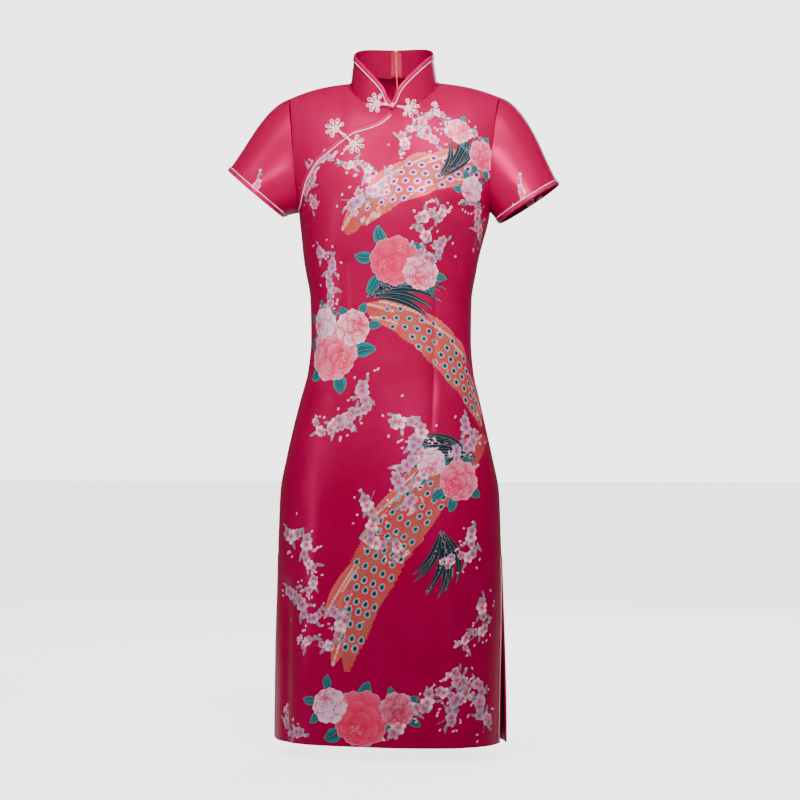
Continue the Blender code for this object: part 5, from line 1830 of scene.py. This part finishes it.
# Hem stitches: their thread's radius, how high each one's ends and middle lie, its width in columns,
# and how many run round one face.
STITCH_THREAD = 0.17 * MM
STITCH_STAND = 0.1 * MM
STITCH_RISE = 0.22 * MM
STITCH_COLUMNS = 0.0075
STITCH_COUNT = 150


def make_stitches(finish):
    """The row of small stitches that holds the hem's turn, a few millimetres apart."""
    meshes = []
    row = row_of_height(HEM_Z + HEM_TURN)
    columns = np.linspace(-0.93, 0.93, STITCH_COUNT)
    for face in (-1, 1):
        for start in columns[np.abs(columns) > 0.01]:
            ends = body_point(face, [start, start + STITCH_COLUMNS], row)
            up = body_normal(face, start, row)
            line = np.array([ends[0], ends.mean(axis=0) + up * STITCH_RISE, ends[1]]) + up * STITCH_STAND
            meshes.append(tube("stitch", line, STITCH_THREAD, finish, 5, mesh_only=True))
    keep(joined("hem_stitches", meshes, finish), None, "binding_satin")


# The studio lights: place, what each is turned to, its sides, its power in watts, its colour and the
# angle it spreads over in degrees.
LIGHT_COLUMNS = ("name", "place", "aim", "size", "power", "tint", "spread")
LIGHTS = (
    ("key_light", (0.6, -1.15, 1.15), (0, 0, -0.12), (0.8, 0.5), 25, (1, 0.95, 1), 180),
    ("top_light", (-0.6, -1.1, 1.15), (0, 0, -0.12), (0.9, 0.5), 18, (1, 0.95, 1), 180),
    ("chest_light", (0.3, -1.8, 0.5), (0, -0.12, -0.06), (0.6, 0.5), 4.6, (1, 0.94, 1), 44),
    ("side_light", (-2.3, -1.2, -0.7), (0, 0, -0.75), (0.4, 1.6), 19, (1, 0.96, 1), 180),
    ("fill_light", (1.4, -3.2, -0.9), (0, 0, -0.8), (1.2, 1.2), 5, (1, 0.98, 1), 180),
    ("back_light", (0.6, 2.6, 0.6), (0, 0, -0.4), (1.2, 1.2), 40, (1, 0.97, 1), 180),
    ("neck_light", (0, -0.25, 0.26), (0, 0.05, -0.03), (0.08, 0.06), 0.014, (1, 1, 1), 30),
)
FLOOR_REACH = 14.0
# How bright the pale surround is where the camera sees it, and what it gives the garment.
FLOOR_GLOW = 2.6
SURROUND_SEEN = 3.4
SURROUND_LIGHT = 0.14
SENSOR_WIDTH = 36


def placed_in_room(name, data):
    """A named object of the room."""
    made = bpy.data.objects.new(name, data)
    bpy.context.scene.collection.objects.link(made)
    return made


def make_lights():
    for values in rows_of(LIGHT_COLUMNS, LIGHTS):
        data = bpy.data.lights.new(values["name"], "AREA")
        data.shape = "RECTANGLE"
        data.size, data.size_y = values["size"]
        data.energy = values["power"]
        data.color = values["tint"]
        data.spread = math.radians(values["spread"])
        made = placed_in_room(values["name"], data)
        made.location = values["place"]
        towards = Vector(values["aim"]) - Vector(values["place"])
        made.rotation_euler = towards.to_track_quat("-Z", "Y").to_euler()


def make_floor():
    """A pale floor that the camera sees about as bright as the surround."""
    data = bpy.data.meshes.new("studio_floor")
    corners = [(x * FLOOR_REACH, y * FLOOR_REACH, FLOOR_Z) for x, y in ((-1, -1), (1, -1), (1, 1), (-1, 1))]
    data.from_pydata(corners, [], [(0, 1, 2, 3)])
    made, tree, shader = finish_of("studio_floor", 0.85)
    place = tree.nodes.new("ShaderNodeTexCoord").outputs["Object"]
    pale = blend_colour(tree, noise(tree, place, 3.0), (0.86, 0.86, 0.86, 1), (0.9, 0.9, 0.9, 1))
    feed(tree, shader.inputs["Base Color"], pale)
    seen = tree.nodes.new("ShaderNodeLightPath").outputs["Is Camera Ray"]
    feed(tree, shader.inputs["Emission Color"], blend_colour(tree, seen, (0, 0, 0, 1), (1, 1, 1, 1)))
    shader.inputs["Emission Strength"].default_value = FLOOR_GLOW
    data.materials.append(made)
    placed_in_room("studio_floor", data)


def make_surround():
    world = bpy.data.worlds.new("studio")
    world.use_nodes = True
    tree = world.node_tree
    seen = tree.nodes.new("ShaderNodeLightPath").outputs["Is Camera Ray"]
    surround = tree.nodes["Background"].inputs
    surround["Color"].default_value = (1, 1, 1, 1)
    bright = sums(tree, "MULTIPLY_ADD", seen, SURROUND_SEEN, SURROUND_LIGHT)
    feed(tree, surround["Strength"], bright)
    bpy.context.scene.world = world


def make_camera():
    """The photo's camera: level, a little to one side and far off."""
    data = bpy.data.cameras.new("photo_camera")
    data.sensor_width = SENSOR_WIDTH
    data.lens = SENSOR_WIDTH * CAMERA_DISTANCE / FRAME_WIDTH
    data.dof.use_dof = False
    camera = placed_in_room("photo_camera", data)
    turn = math.radians(CAMERA_TURN)
    aside = Vector((math.cos(turn), math.sin(turn), 0)) * CAMERA_ASIDE
    away = Vector((math.sin(turn), -math.cos(turn), 0)) * CAMERA_DISTANCE
    camera.location = away + aside + Vector((0, 0, CAMERA_Z))
    camera.rotation_euler = (math.pi / 2, 0, turn)
    bpy.context.scene.camera = camera


# The cords' finishes: both colours, the darker one painted shade in the strands' grooves and the lighter one
# painted light on their crowns, the pitch of a strand in metres, how many there are, and the sheen.
CORD_COLUMNS = ("name", "dark", "light", "pitch", "strands", "sheen")
CORDS = (
    ("piping_cord", "pale_pink", "blush", 0.0016, 2.0, 0.25),
    ("frog_satin_cord", "pale_pink", "blush", 0.0022, 2.0, 0.25),
    ("knot_cloth", "rose", "pale_pink", 0.003, 1.0, 0.25),
    ("zip_tape_weave", "wine", "scarlet", 0.0009, 6.0, 0.0),
)


def painted_metal(name):
    """Metal painted in the cloth's colour, a little worn."""
    made, tree, shader = finish_of(name, 0.3, 0.5, metallic=0.7)
    place = tree.nodes.new("ShaderNodeTexCoord").outputs["Object"]
    wear = noise(tree, place, 900.0)
    feed(tree, shader.inputs["Base Color"], blend_colour(tree, wear, colour("wine"), colour("rose")))
    feed(tree, shader.inputs["Roughness"], sums(tree, "MULTIPLY_ADD", wear, 0.2, 0.22))
    return made


def make_scene():
    satin = satin_finish("printed_satin", "satin", "satin_light", True)
    binding = satin_finish("binding_satin", "satin_light", "satin_edge", False)
    piping, frog, knot, tape = (cord_finish(**values) for values in rows_of(CORD_COLUMNS, CORDS))
    metal = painted_metal("zip_metal")
    make_body(satin, (binding, piping))
    make_sleeves(satin, (binding, piping))
    make_collars(satin, (binding, piping))
    make_zip(tape, metal)
    make_turnings(binding)
    make_frogs(frog, knot)
    make_stitches(binding)
    make_floor()
    make_surround()
    make_lights()
    make_camera()


make_scene()
